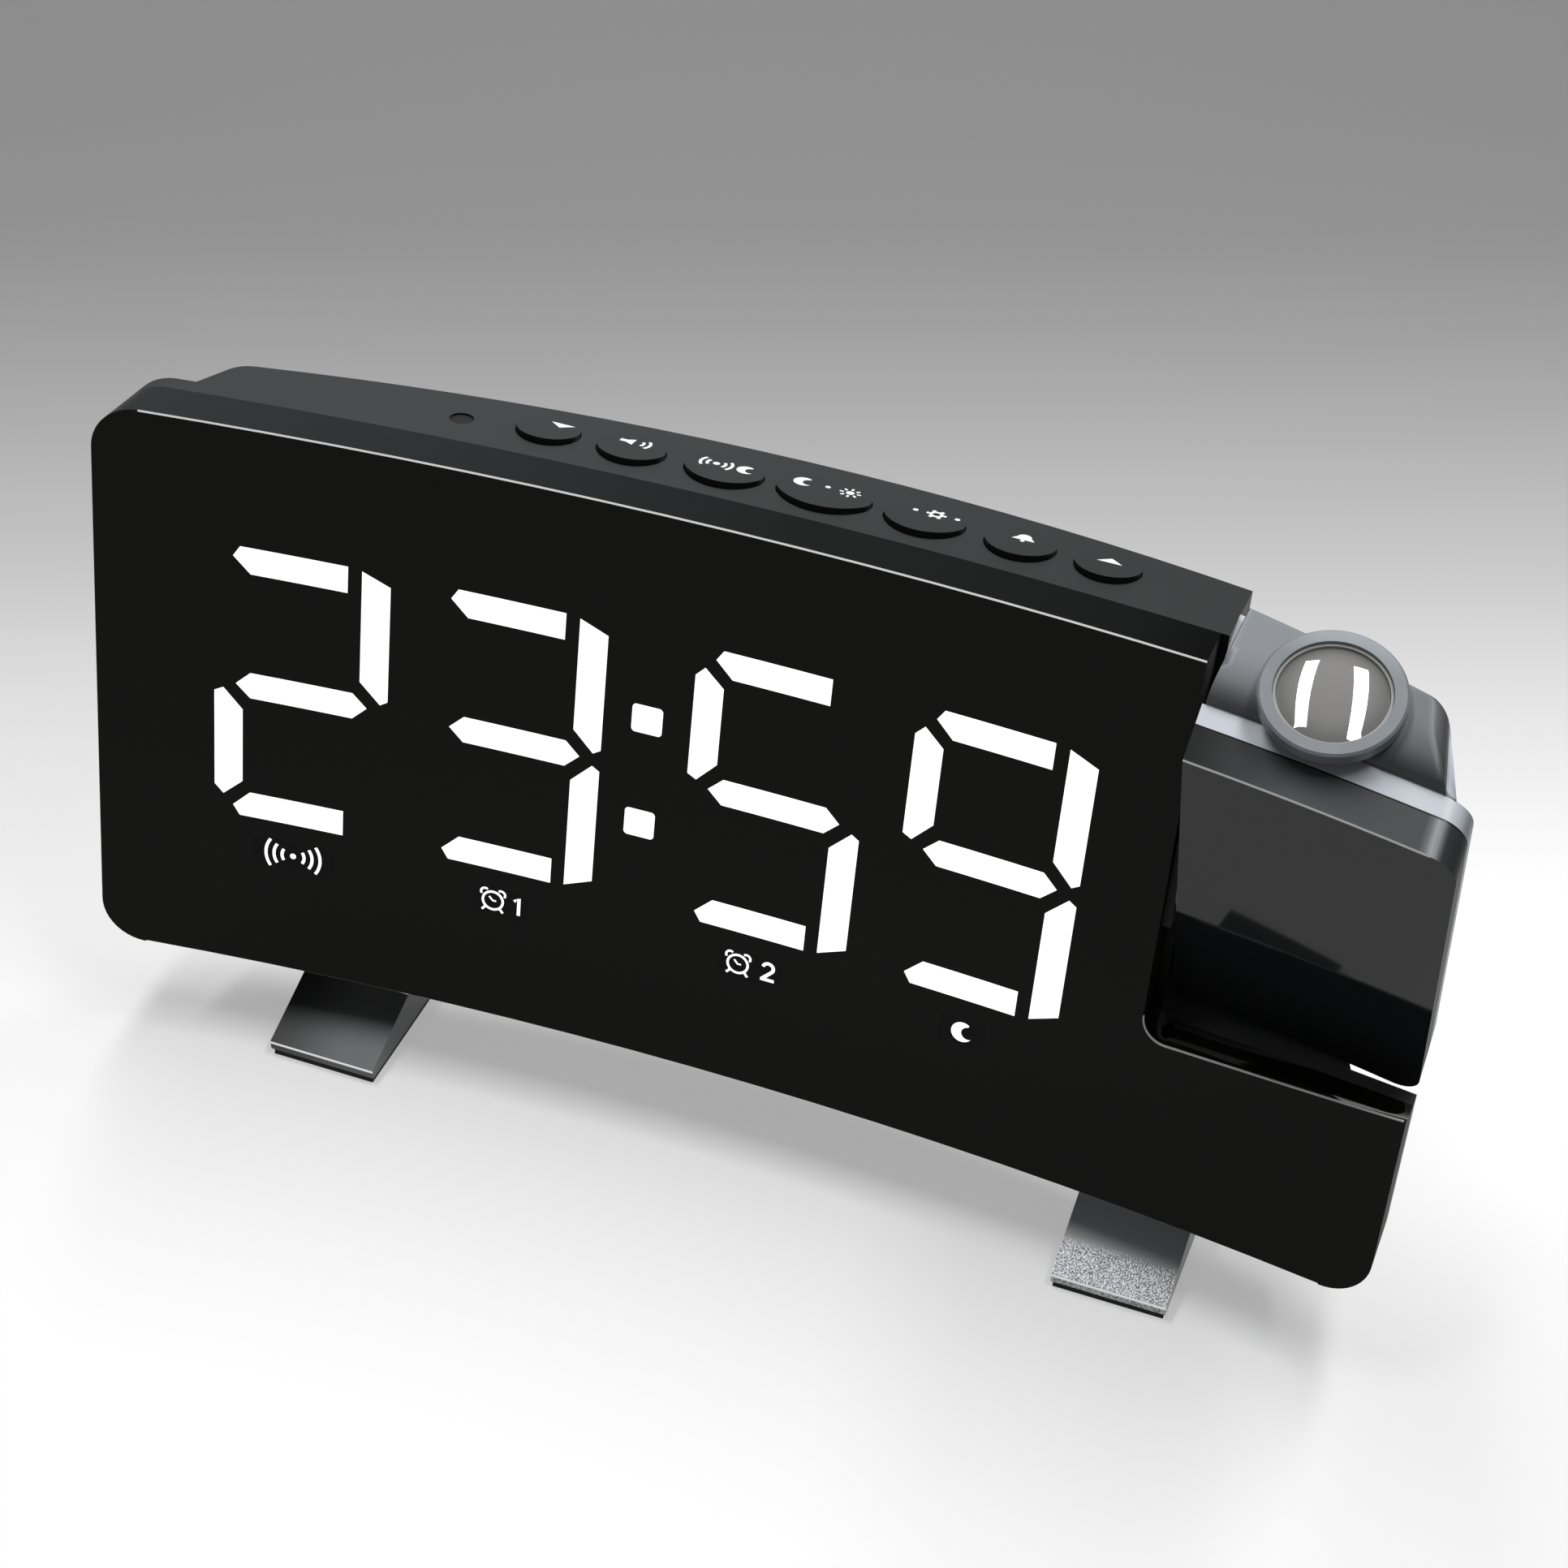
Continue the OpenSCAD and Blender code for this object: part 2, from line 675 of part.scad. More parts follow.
module display_segments() {
    color([0.95, 0.96, 0.98]) stand() intersection() {
        face_prism(-20, 8) {
            strokes(false);
            colon();
        }
        front_layer(0, face_t + 1);
    }
}

module sign_windows() {
    color([0.06, 0.06, 0.07]) stand() intersection() {
        face_prism(-20, 8) sign_shapes(0);
        front_layer(0, face_t + 0.6);
    }
}

module digit_reflector() {
    color([0.86, 0.86, 0.84]) stand() difference() {
        intersection() {
            block([reflector_left, -20, reflector_low], [reflector_right, board_y, reflector_high]);
            behind_front(face_t);
        }
        face_prism(-20, board_y + 1) {
            strokes(true);
            colon();
            sign_shapes(0);
        }
    }
}

// One small lamp for each stroke and dot, standing on the board inside its cell.
LED_AT = [[0, 0.45], [0.42, 0.24], [0.42, -0.24], [0, -0.45], [-0.42, -0.24], [-0.42, 0.24], [0, 0]];

module display_leds() {
    color([0.95, 0.85, 0.5]) stand() {
        for (d = [0:3], i = [0:6]) {
            x = DIGIT_X[d] + LED_AT[i][0] * digit_w;
            z = digit_mid + LED_AT[i][1] * digit_h;
            block([x - 0.8, board_y - 0.7, z - 0.8], [x + 0.8, board_y, z + 0.8]);
        }
        for (s = [-1, 1]) {
            z = digit_mid + s * colon_pitch / 2;
            block([colon_x - 0.8, board_y - 0.7, z - 0.8], [colon_x + 0.8, board_y, z + 0.8]);
        }
        for (w = SIGNS)
            block([w[0] - 0.8, board_y - 0.7, sign_z - 0.8], [w[0] + 0.8, board_y, sign_z + 0.8]);
    }
}

module display_board() {
    color([0.1, 0.35, 0.2]) stand()
        block([reflector_left - 1, board_y, board_low], [reflector_right, board_y + pcb_t, board_high]);
}

// ---------- boards in the back ----------

module main_board() {
    color([0.08, 0.3, 0.18]) stand() union() {
        block([main_x0, main_board_y, main_z0], [main_x1, main_board_y + pcb_t, main_z1]);
        // edge posts that stand on the display board
        for (x = [main_x0 + 3, main_x1 - 3], z = [main_z0 + 3, main_z1 - 3])
            y_rod(x, board_y + pcb_t, main_board_y, z, 1.6);
    }
}

module board_chips() {
    y1 = main_board_y + pcb_t;
    color([0.1, 0.1, 0.11]) stand() {
        block([-6, y1, main_z0 + 8], [6, y1 + 1.4, main_z0 + 20]);
        block([-24, y1, main_z0 + 10], [-17, y1 + 1.4, main_z0 + 15]);
        block([14, y1, main_z0 + 22], [24, y1 + 1.2, main_z0 + 27]);
        y_rod(32, y1, y1 + 3.2, main_z0 + 9, 2.4);
        y_rod(32, y1, y1 + 3.2, main_z0 + 17, 2.4);
        y_rod(-20, y1, y1 + 3.2, main_z0 + 26, 2);
        // plug of the projector's wires
        block([plug_x - 4, main_board_y - 3, pivot_z - 3], [plug_x, main_board_y, pivot_z + 3]);
    }
}

// The projector's wires inside the clock, up to the mouth of the hollow shaft.
module wire_lead() {
    x = shaft_end_x - wire_r - fit_gap;
    y = main_board_y - wire_r - 0.3;
    color([0.7, 0.1, 0.1]) stand() union() {
        x_rod(x, shaft_end_x, pivot_y, pivot_z, wire_r);
        translate([x, pivot_y, pivot_z]) sphere(r = wire_r);
        y_rod(x, pivot_y, y, pivot_z, wire_r);
        translate([x, y, pivot_z]) sphere(r = wire_r);
        x_rod(plug_x, x, y, pivot_z, wire_r);
    }
}

module key_board() {
    color([0.1, 0.35, 0.2]) stand() against_back(0.2)
        block([sensor_x - 3, key_setback, top_board_z], [key_x(6) + 4.8, body_t, top_board_z + pcb_t]);
}

module tact_switches() {
    z0 = top_board_z + pcb_t;
    half = switch_size / 2;
    color([0.2, 0.2, 0.2]) stand() for (i = [0:6]) difference() {
        block([key_x(i) - half, key_y(i) - half, z0], [key_x(i) + half, key_y(i) + half, z0 + switch_h]);
        translate([key_x(i), key_y(i), key_foot_z - 1]) cylinder(r = plunger_r + 0.15, h = switch_h);
    }
}

module light_sensor() {
    color([0.25, 0.2, 0.2]) stand()
        translate([sensor_x, sensor_y, top_board_z + pcb_t]) cylinder(r = 1.5, h = 4);
}

module sensor_window() {
    color([0.05, 0.04, 0.04]) stand()
        translate([sensor_x, sensor_y, body_h - wall]) cylinder(r = sensor_r, h = wall - 0.3);
}

module speaker() {
    color([0.2, 0.2, 0.21]) stand() difference() {
        union() {
            y_rod(-speaker_x, speaker_back - 1.6, speaker_back, speaker_z, speaker_r);
            y_rod(-speaker_x, speaker_back - speaker_t, speaker_back - 1.6, speaker_z, speaker_r * 0.45);
        }
        y_rod(-speaker_x, speaker_back - 1, speaker_back + 1, speaker_z, speaker_r - 1.6);
    }
}

module speaker_cone() {
    color([0.05, 0.05, 0.05]) stand() difference() {
        y_rod(-speaker_x, speaker_back - 1, speaker_back - 0.2, speaker_z, speaker_r - 1.6);
        y_rod(-speaker_x, speaker_back - 0.6, speaker_back, speaker_z, speaker_r - 4.5);
    }
}

module power_inlet() {
    y1 = rear_y(inlet_x) - wall;
    color([0.06, 0.06, 0.06]) stand() union() {
        difference() {
            union() {
                against_back(0)
                    block([inlet_x - 4.8, y1 - 9.4, socket_z - 5], [inlet_x + 4.8, body_t, socket_z + 5]);
                intersection() {
                    y_rod(inlet_x, y1 - 2, body_t, socket_z, inlet_r);
                    body_back(0, body_h, 0.3);
                }
            }
            y_rod(inlet_x, y1 - 7.5, body_t + 3, socket_z, 2.85);
        }
        y_rod(inlet_x, y1 - 8, y1, socket_z, 1);
    }
}

module usb_socket() {
    y1 = rear_y(usb_x) - wall;
    w = usb_w / 2;
    h = usb_h / 2;
    color([0.6, 0.6, 0.62]) stand() union() {
        difference() {
            union() {
                against_back(0)
                    block([usb_x - w, y1 - 8.5, socket_z - h], [usb_x + w, body_t, socket_z + h]);
                intersection() {
                    translate([usb_x - w + 0.5, y1 - 2, socket_z - h + 0.5])
                        cube([usb_w - 1, body_t, usb_h - 1]);
                    body_back(0, body_h, 0.3);
                }
            }
            translate([usb_x - w + 1, y1 - 7.5, socket_z - h + 1]) cube([usb_w - 2, body_t, usb_h - 2]);
        }
        block([usb_x - w + 1.6, y1 - 8, socket_z + 0.2], [usb_x + w - 1.6, y1 - 1, socket_z + 1.8]);
    }
}

module battery_door() {
    color([0.15, 0.15, 0.16]) stand() difference() {
        intersection() {
            door_space(0, 0, bay_top + 1.5);
            body_back(-1, body_h, 0);
        }
        for (z = [5:2:11]) block([battery_x - 6, rear_y(0) - 0.6, z], [battery_x + 6, body_t + 5, z + 1]);
    }
}

module coin_cell() {
    color([0.7, 0.7, 0.7]) stand()
        y_rod(battery_x, bay_y + 0.5, bay_y + 0.5 + cell_t, bay_low + cell_r + 0.8, cell_r);
}

module battery_clips() {
    color([0.8, 0.7, 0.4]) stand() {
        block([battery_x - 4, bay_y, bay_low + 4.8], [battery_x + 4, bay_y + 0.5, bay_low + 14.8]);
        block([battery_x - 3, bay_y + 0.5, bay_low], [battery_x + 3, bay_y + cell_t, bay_low + 0.8]);
    }
}

// ---------- feet ----------

module foot(x) {
    slope_y = foot_screw_y - 4;
    translate([x - foot_w / 2, 0, 0]) rotate([90, 0, 90]) linear_extrude(foot_w) polygon([
        [-foot_reach + 0.4, table_z(-foot_reach + 0.4) + pad_up], [-foot_reach, -foot_drop],
        [slope_y, slope_z(slope_y)], [slope_y, 0], [foot_screw_y + 4, 0], [foot_screw_y + 4, -4],
        [foot_back, table_z(foot_back) + pad_up + 2], [foot_back, table_z(foot_back) + pad_up]]);
}

foot_floor = 4.5;

module foot_bored(x) {
    color([0.62, 0.63, 0.65]) stand() difference() {
        foot(x);
        translate([x, foot_screw_y, -big]) cylinder(r = screw_r + fit_gap, h = big + 1);
        translate([x, foot_screw_y, -big - foot_floor]) cylinder(r = screw_head_r + 0.3, h = big);
    }
}

module left_foot() {
    foot_bored(-foot_x);
}

module right_foot() {
    foot_bored(foot_x);
}

module pad(x) {
    inset = 0.3;
    front = -foot_reach + 0.9;
    back = foot_back - inset;
    color([0.03, 0.03, 0.03]) stand() difference() {
        translate([x - foot_w / 2 + inset, 0, 0]) rotate([90, 0, 90]) linear_extrude(foot_w - 2 * inset)
            polygon([[front, table_z(front)], [front, table_z(front) + pad_up],
                [back, table_z(back) + pad_up], [back, table_z(back)]]);
        translate([x, foot_screw_y, -big]) cylinder(r = screw_head_r + 0.3, h = big + 1);
    }
}

module left_pad() {
    pad(-foot_x);
}

module right_pad() {
    pad(foot_x);
}

module foot_screws() {
    color([0.5, 0.5, 0.52]) stand() for (s = [-1, 1]) translate([s * foot_x, foot_screw_y, -foot_floor]) {
        translate([0, 0, -screw_head_t]) cylinder(r = screw_head_r, h = screw_head_t);
        translate([0, 0, -1]) cylinder(r = screw_r, h = foot_floor + wall + 2);
    }
}

module cover_screws() {
    color([0.3, 0.3, 0.32]) stand() for (p = SCREWS) {
        y0 = front_y(p[0]) + face_t + 0.6;
        y1 = front_y(p[0]) + post_depth + tube_floor;
        y_rod(p[0], y0, y1 + 0.5, p[1], screw_r);
        difference() {
            y_rod(p[0], y1, y1 + screw_head_t, p[1], screw_head_r);
            block([p[0] - 2, y1 + 1, p[1] - 0.35], [p[0] + 2, y1 + 2, p[1] + 0.35]);
            block([p[0] - 0.35, y1 + 1, p[1] - 2], [p[0] + 0.35, y1 + 2, p[1] + 2]);
        }
    }
}

// ---------- keys ----------

// A key whose top slopes down to its rear edge.
module key(i) {
    z_top = body_h + key_rise;
    z_flange = key_flange_z - key_flange_t;
    w = key_width(i);
    d = key_depth(i);
    slope = atan((key_rise - key_rear) / d);
    color([0.16, 0.16, 0.17]) stand() translate([key_x(i), key_y(i), 0]) {
        difference() {
            translate([0, 0, z_flange]) linear_extrude(z_top - z_flange) oval(w, d, 0);
            translate([0, -d / 2, z_top]) rotate([-slope, 0, 0])
                translate([-w, -1, 0]) cube([2 * w, d + 3, 3]);
        }
        // ears that stop the key under the housing's top
        block([-w / 2 - 0.7, -1.8, z_flange], [w / 2 + 0.7, 1.8, key_flange_z]);
        translate([0, 0, key_foot_z]) cylinder(r = plunger_r, h = z_top - key_foot_z - 1);
    }
}

module key_down() {
    key(0);
}

module key_volume() {
    key(1);
}

module key_radio() {
    key(2);
}

module key_snooze() {
    key(3);
}

module key_set() {
    key(4);
}

module key_alarm() {
    key(5);
}

module key_up() {
    key(6);
}

// ---------- hinge ----------

module hinge_washer() {
    color([0.85, 0.85, 0.82]) stand() difference() {
        x_rod(notch_x, projector_x - fit_gap, pivot_y, pivot_z, washer_r);
        x_rod(notch_x - 1, projector_x + 1, pivot_y, pivot_z, shaft_r + running_gap);
    }
}

module pivot_shaft() {
    color([0.7, 0.7, 0.72]) stand() tilt() difference() {
        union() {
            x_rod(shaft_end_x, grip_x + 1, pivot_y, pivot_z, shaft_r);
            x_rod(grip_x, grip_x + 1.2, pivot_y, pivot_z, shaft_r + 1.2);
        }
        x_rod(shaft_end_x - 1, grip_x + 2, pivot_y, pivot_z, shaft_hole_r);
    }
}

module spring_washer() {
    color([0.75, 0.75, 0.78]) stand() tilt() difference() {
        x_rod(boss_x - 0.6, boss_x, pivot_y, pivot_z, shaft_r + 1);
        x_rod(boss_x - 1, boss_x + 1, pivot_y, pivot_z, shaft_r);
    }
}

module retaining_ring() {
    color([0.4, 0.4, 0.42]) stand() tilt() difference() {
        x_rod(boss_x - 1.3, boss_x - 0.6, pivot_y, pivot_z, shaft_r + 0.9);
        x_rod(boss_x - 2, boss_x, pivot_y, pivot_z, shaft_r);
    }
}

// ---------- projector ----------

// The projector's back part, with its lower end rounded so that it clears the step as it turns.
module projector_back(z0, z1, inset) {
    intersection() {
        translate([0, 0, z0]) linear_extrude(z1 - z0)
            back_plan(half_w - 1.6, half_w - 8.7, 3.2, projector_r, inset);
        block([projector_x + shell_in + inset, -20, z0], [half_w, body_t + 20, z1]);
        union() {
            block([projector_x - 1, -30, pivot_z], [half_w + 1, body_t + 20, projector_top + 20]);
            x_rod(projector_x - 1, half_w + 1, pivot_y, pivot_z, sweep_r - inset);
        }
    }
}

PROJECTOR_SCREWS = [
    [projector_x + 6, projector_z + 8], [half_w - 12, projector_z + 8], [projector_x + 4.8, pivot_z + 22]];
small_screw_r = 1;
small_head_r = 1.8;
small_post_r = 2.4;
small_floor = 3.4;

module projector_plate() {
    color([0.06, 0.06, 0.065]) stand() tilt() difference() {
        union() {
            difference() {
                intersection() {
                    face_prism(-20, 20) projector_outline(0);
                    front_layer(0, plate_t);
                }
                intersection() {
                    face_prism(-20, 20) projector_outline(plate_wall);
                    front_layer(plate_face, plate_t + 2);
                }
            }
            for (p = PROJECTOR_SCREWS) intersection() {
                y_rod(p[0], -20, 20, p[1], small_post_r);
                front_layer(plate_face - 0.2, plate_t);
            }
        }
        for (p = PROJECTOR_SCREWS) intersection() {
            y_rod(p[0], -20, 20, p[1], small_screw_r);
            behind_front(plate_face + 0.3);
        }
        x_rod(projector_x - 1, projector_x + plate_wall + 0.3, pivot_y, pivot_z, grip_r + fit_gap);
        intersection() {
            top_chamfer(projector_top);
            translate([projector_x - 1, -20, projector_top - 2])
                cube([projector_w - projector_gap - projector_corner + 1, 23, 3]);
        }
    }
}

// The raised part behind the projector's rim, and all below it.
module projector_raised(z0, z1, inset, depth) {
    intersection() {
        projector_back(z0, z1, inset);
        behind_front(depth);
    }
}

module projector_shell() {
    rim_back = plate_t + rim_t;
    hump_in = rim_back + plate_wall;
    collar_low = hump_top - collar_h;
    color([0.42, 0.43, 0.45]) stand() tilt() difference() {
        union() {
            difference() {
                union() {
                    intersection() {
                        face_prism(-20, 20) projector_outline(0);
                        front_layer(plate_t, rim_back);
                    }
                    projector_raised(projector_z, hump_top, 0, rim_back);
                }
                intersection() {
                    face_prism(-20, 20) projector_outline(plate_wall);
                    front_layer(plate_t - 1, rim_back - 1.2);
                }
                projector_raised(projector_z + 2, projector_top - plate_wall, plate_wall, plate_t - 1);
                projector_raised(projector_top - 5, hump_top - plate_wall, plate_wall, hump_in);
            }
            // collar that guides the lens cell
            intersection() {
                translate([lens_x, lens_y, collar_low]) cylinder(r = neck_r + collar_wall, h = collar_h);
                projector_raised(projector_z, hump_top, 0, plate_t + 0.1);
            }
            // boss that grips the shaft, and its rib
            intersection() {
                x_rod(projector_x, grip_x, pivot_y, pivot_z, grip_r);
                behind_front(plate_face + fit_gap);
            }
            intersection() {
                translate([projector_x + shell_in, pivot_y, pivot_z - 3])
                    cube([grip_x - 1 - projector_x - shell_in, 12, 6]);
                projector_back(projector_z, projector_top, 0.4);
            }
            // shelf for the lamp board
            intersection() {
                block([projector_x, lens_y - 1, lamp_board_z - 2], [half_w, body_t + 5, lamp_board_z]);
                projector_back(projector_z, projector_top, 0.4);
            }
            // screw tubes
            for (p = PROJECTOR_SCREWS) intersection() {
                y_rod(p[0], -20, body_t + 5, p[1], small_post_r);
                projector_raised(projector_z, projector_top, 0.4, plate_t);
            }
        }
        translate([lens_x, lens_y, hump_top - 12]) cylinder(r = neck_r + running_gap, h = 20);
        x_rod(projector_x - 1, grip_x + 0.1, pivot_y, pivot_z, shaft_r);
        for (p = PROJECTOR_SCREWS) {
            y_rod(p[0], -10, body_t + 5, p[1], small_screw_r);
            y_rod(p[0], front_y(p[0]) + plate_t + small_floor, body_t + 5, p[1], small_head_r + 0.1);
        }
    }
}

module projector_screws() {
    color([0.3, 0.3, 0.32]) stand() tilt() for (p = PROJECTOR_SCREWS) {
        y0 = front_y(p[0]) + plate_face + 0.8;
        y1 = front_y(p[0]) + plate_t + small_floor;
        y_rod(p[0], y0, y1 + 0.5, p[1], small_screw_r);
        y_rod(p[0], y1, y1 + 1.2, p[1], small_head_r);
    }
}

module projector_tunnel() {
    z0 = lamp_board_z + pcb_t;
    w = lcd_w / 2;
    d = lcd_d / 2;
    color([0.05, 0.05, 0.05]) stand() tilt() difference() {
        translate([lens_x, lens_y, z0]) cylinder(r = tunnel_r, h = hump_top - 8.4 - z0);
        translate([lens_x, lens_y, lamp_board_z]) cylinder(r = tunnel_r - tunnel_wall, h = big);
        block([lens_x - w, lens_y - d, lcd_z], [lens_x + w, lens_y + d, lcd_z + lcd_t]);
    }
}

module projector_lcd() {
    w = lcd_w / 2;
    d = lcd_d / 2;
    color([0.2, 0.25, 0.3]) stand() tilt()
        block([lens_x - w, lens_y - d, lcd_z], [lens_x + w, lens_y + d, lcd_z + lcd_t]);
}

module condenser_lens() {
    color([0.8, 0.85, 0.9]) stand() tilt() translate([lens_x, lens_y, lcd_z - 5]) intersection() {
        cylinder(r = tunnel_r - tunnel_wall, h = 3);
        translate([0, 0, -7]) sphere(r = 10, $fn = 128);
    }
}

module projector_board() {
    color([0.1, 0.35, 0.2]) stand() tilt() intersection() {
        block([projector_x + 3.4, pivot_y - 4.2, lamp_board_z], [lens_x + 9, body_t, lamp_board_z + pcb_t]);
        projector_back(projector_z, projector_top, plate_wall);
    }
}

module projector_led() {
    z0 = lamp_board_z + pcb_t;
    color([0.95, 0.95, 0.8]) stand() tilt() {
        block([lens_x - 1.8, lens_y - 1.8, z0], [lens_x + 1.8, lens_y + 1.8, z0 + 0.8]);
        translate([lens_x, lens_y, z0 + 0.8]) intersection() {
            sphere(r = 1.6);
            cylinder(r = 2, h = 2);
        }
    }
}

module projector_wires() {
    color([0.7, 0.1, 0.1]) stand() tilt() union() {
        x_rod(shaft_end_x, wire_x, pivot_y, pivot_z, wire_r);
        translate([wire_x, pivot_y, pivot_z]) sphere(r = wire_r);
        translate([wire_x, pivot_y, pivot_z]) cylinder(r = wire_r, h = lamp_board_z - pivot_z);
    }
}

// ---------- lens ----------

cell_r0 = lens_r + 0.35;
flange_low = 0.1;
flange_top = 0.6;
skirt_t = 0.7;
flange_r = ring_r - skirt_t - running_gap;
groove = 0.5;
clip_t = 0.6;
neck_len = 8;

module at_lens(z) {
    stand() tilt() translate([lens_x, lens_y, hump_top + z]) children();
}

module lens_cell() {
    color([0.08, 0.08, 0.085]) at_lens(0) rotate_extrude() polygon([
        [neck_r - 1, -neck_len], [neck_r, -neck_len], [neck_r, -neck_len + 0.2],
        [neck_r - groove, -neck_len + 0.2], [neck_r - groove, -neck_len + 0.2 + clip_t],
        [neck_r, -neck_len + 0.2 + clip_t], [neck_r, flange_low], [flange_r, flange_low],
        [flange_r, flange_top], [cell_r0, flange_top], [cell_r0, ring_h - 0.5],
        [lens_r, ring_h - 0.5], [lens_r, flange_top], [neck_r - 1, flange_top]]);
}

// Its flat side lies along the projector's curved back.
module cell_clip() {
    r = neck_r + 1.2;
    turn = asin(lens_x / projector_r);
    color([0.5, 0.5, 0.52]) at_lens(-neck_len + 0.2) difference() {
        cylinder(r = r, h = clip_t);
        translate([0, 0, -1]) cylinder(r = neck_r - groove, h = 3);
        rotate([0, 0, -turn]) translate([-r - 1, neck_r - 0.2, -1]) cube([2 * r + 2, r, 3]);
    }
}

module lens() {
    r = (lens_r * lens_r + dome_h * dome_h) / (2 * dome_h);
    edge = 0.5;
    color([0.55, 0.56, 0.58, 0.6]) at_lens(flange_top) union() {
        cylinder(r = lens_r, h = edge);
        intersection() {
            translate([0, 0, edge + dome_h - r]) sphere(r = r, $fn = 256);
            cylinder(r = lens_r, h = edge + dome_h + 1);
            translate([-big, -big, edge - 0.2]) cube(2 * big);
        }
    }
}

module focus_ring() {
    z0 = flange_top + running_gap;
    r0 = cell_r0 + running_gap;
    edge = 0.3;
    color([0.45, 0.46, 0.48]) at_lens(0) rotate_extrude() polygon([
        [r0, z0], [ring_r - skirt_t, z0], [ring_r - skirt_t, flange_low], [ring_r, flange_low],
        [ring_r, ring_h - edge], [ring_r - edge, ring_h], [r0, ring_h]]);
}

front_panel();
rear_cover();
display_segments();
sign_windows();
digit_reflector();
display_leds();
display_board();
main_board();
board_chips();
wire_lead();
key_board();
tact_switches();
light_sensor();
sensor_window();
speaker();
speaker_cone();
power_inlet();
usb_socket();
battery_door();
coin_cell();
battery_clips();
left_foot();
right_foot();
left_pad();
right_pad();
foot_screws();
cover_screws();
key_down();
key_volume();
key_radio();
key_snooze();
key_set();
key_alarm();
key_up();
hinge_washer();
pivot_shaft();
spring_washer();
retaining_ring();
projector_plate();
projector_shell();
projector_tunnel();
projector_lcd();
condenser_lens();
projector_board();
projector_led();
projector_wires();
projector_screws();
lens_cell();
cell_clip();
lens();
focus_ring();
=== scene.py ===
"""Finishes, signs, key marks and a studio for a projection alarm clock, laid out as an add-on."""
import json
import math

import bmesh
import bpy
from bpy.props import FloatProperty, FloatVectorProperty, PointerProperty
from mathutils import Matrix, Vector
from mathutils.kdtree import KDTree


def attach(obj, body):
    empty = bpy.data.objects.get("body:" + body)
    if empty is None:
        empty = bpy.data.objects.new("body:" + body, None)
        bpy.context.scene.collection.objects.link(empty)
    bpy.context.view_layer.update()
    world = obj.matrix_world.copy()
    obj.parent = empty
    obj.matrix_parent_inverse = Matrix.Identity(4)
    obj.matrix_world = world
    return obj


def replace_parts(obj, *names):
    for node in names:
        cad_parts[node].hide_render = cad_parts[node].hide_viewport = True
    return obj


bl_info = {
    "name": "Projection alarm clock",
    "version": (1, 0, 0),
    "blender": (4, 5, 0),
    "location": "3D View > Sidebar > Clock",
    "description": "Finishes, lit signs, key marks and a studio for a projection alarm clock",
    "category": "Object",
}

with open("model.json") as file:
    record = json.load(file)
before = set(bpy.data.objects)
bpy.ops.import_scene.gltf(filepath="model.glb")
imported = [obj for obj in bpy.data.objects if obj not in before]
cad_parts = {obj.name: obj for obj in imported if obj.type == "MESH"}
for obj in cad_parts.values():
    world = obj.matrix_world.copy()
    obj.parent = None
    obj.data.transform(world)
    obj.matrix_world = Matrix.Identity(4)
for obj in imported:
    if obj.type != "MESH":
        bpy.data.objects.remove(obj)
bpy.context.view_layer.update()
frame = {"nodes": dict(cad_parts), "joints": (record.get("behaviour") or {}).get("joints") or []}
NODES = frame["nodes"]
JOINTS = {joint["name"]: joint for joint in frame["joints"]}
MM = 0.001

# ---------- the housing's own frame ----------
# Places are given in millimetres on the upright housing: X to the right, Y away from the user and
# Z up the face. LEANED sets them back into the frame, and TILTED does so for the projector.

ACROSS, BACK, UP = range(3)
PIVOT_ON_HOUSING = (60.0, 4.0, 51.84)
PIVOT = Vector(JOINTS["projector_tilt"]["pos_m"])
DOWN = Vector(JOINTS["press_snooze"]["axis"])
LENS_AXIS = Vector(JOINTS["focus_slide"]["axis"])
LEAN = math.atan2(-DOWN.y, -DOWN.z)
FORWARD_TILT = math.atan2(-LENS_AXIS.y, LENS_AXIS.z)


def from_pivot(turn):
    """The matrix from millimetres on the housing to the frame, turned about the shaft."""
    away = Matrix.Translation([-value for value in PIVOT_ON_HOUSING])
    return Matrix.Translation(PIVOT) @ Matrix.Rotation(turn, 4, "X") @ Matrix.Scale(MM, 4) @ away


def axis_of(matrix, axis):
    """The direction in the frame of one of the housing's axes."""
    return matrix.to_3x3().col[axis].normalized()


LEANED = from_pivot(-LEAN)
TILTED = from_pivot(FORWARD_TILT)
PROJECTOR_UP = axis_of(TILTED, UP)

HALF_WIDTH = 95.0
BODY_DEPTH = 23.5
TOP = 87.0
# How far the arcs of the front and of the back rise in the middle of the body.
FRONT_BOW = 8.267
REAR_BOW = 15.225


def bow_radius(bow):
    """Radius of an arc as wide as the body that rises by bow in its middle."""
    return (HALF_WIDTH ** 2 + bow ** 2) / (2 * bow)


FRONT_RADIUS = bow_radius(FRONT_BOW)
REAR_RADIUS = bow_radius(REAR_BOW)


def front_y(x):
    """Where the hollow front lies at a place x."""
    return math.sqrt(FRONT_RADIUS ** 2 - x * x) - FRONT_RADIUS


# ---------- shader expressions ----------


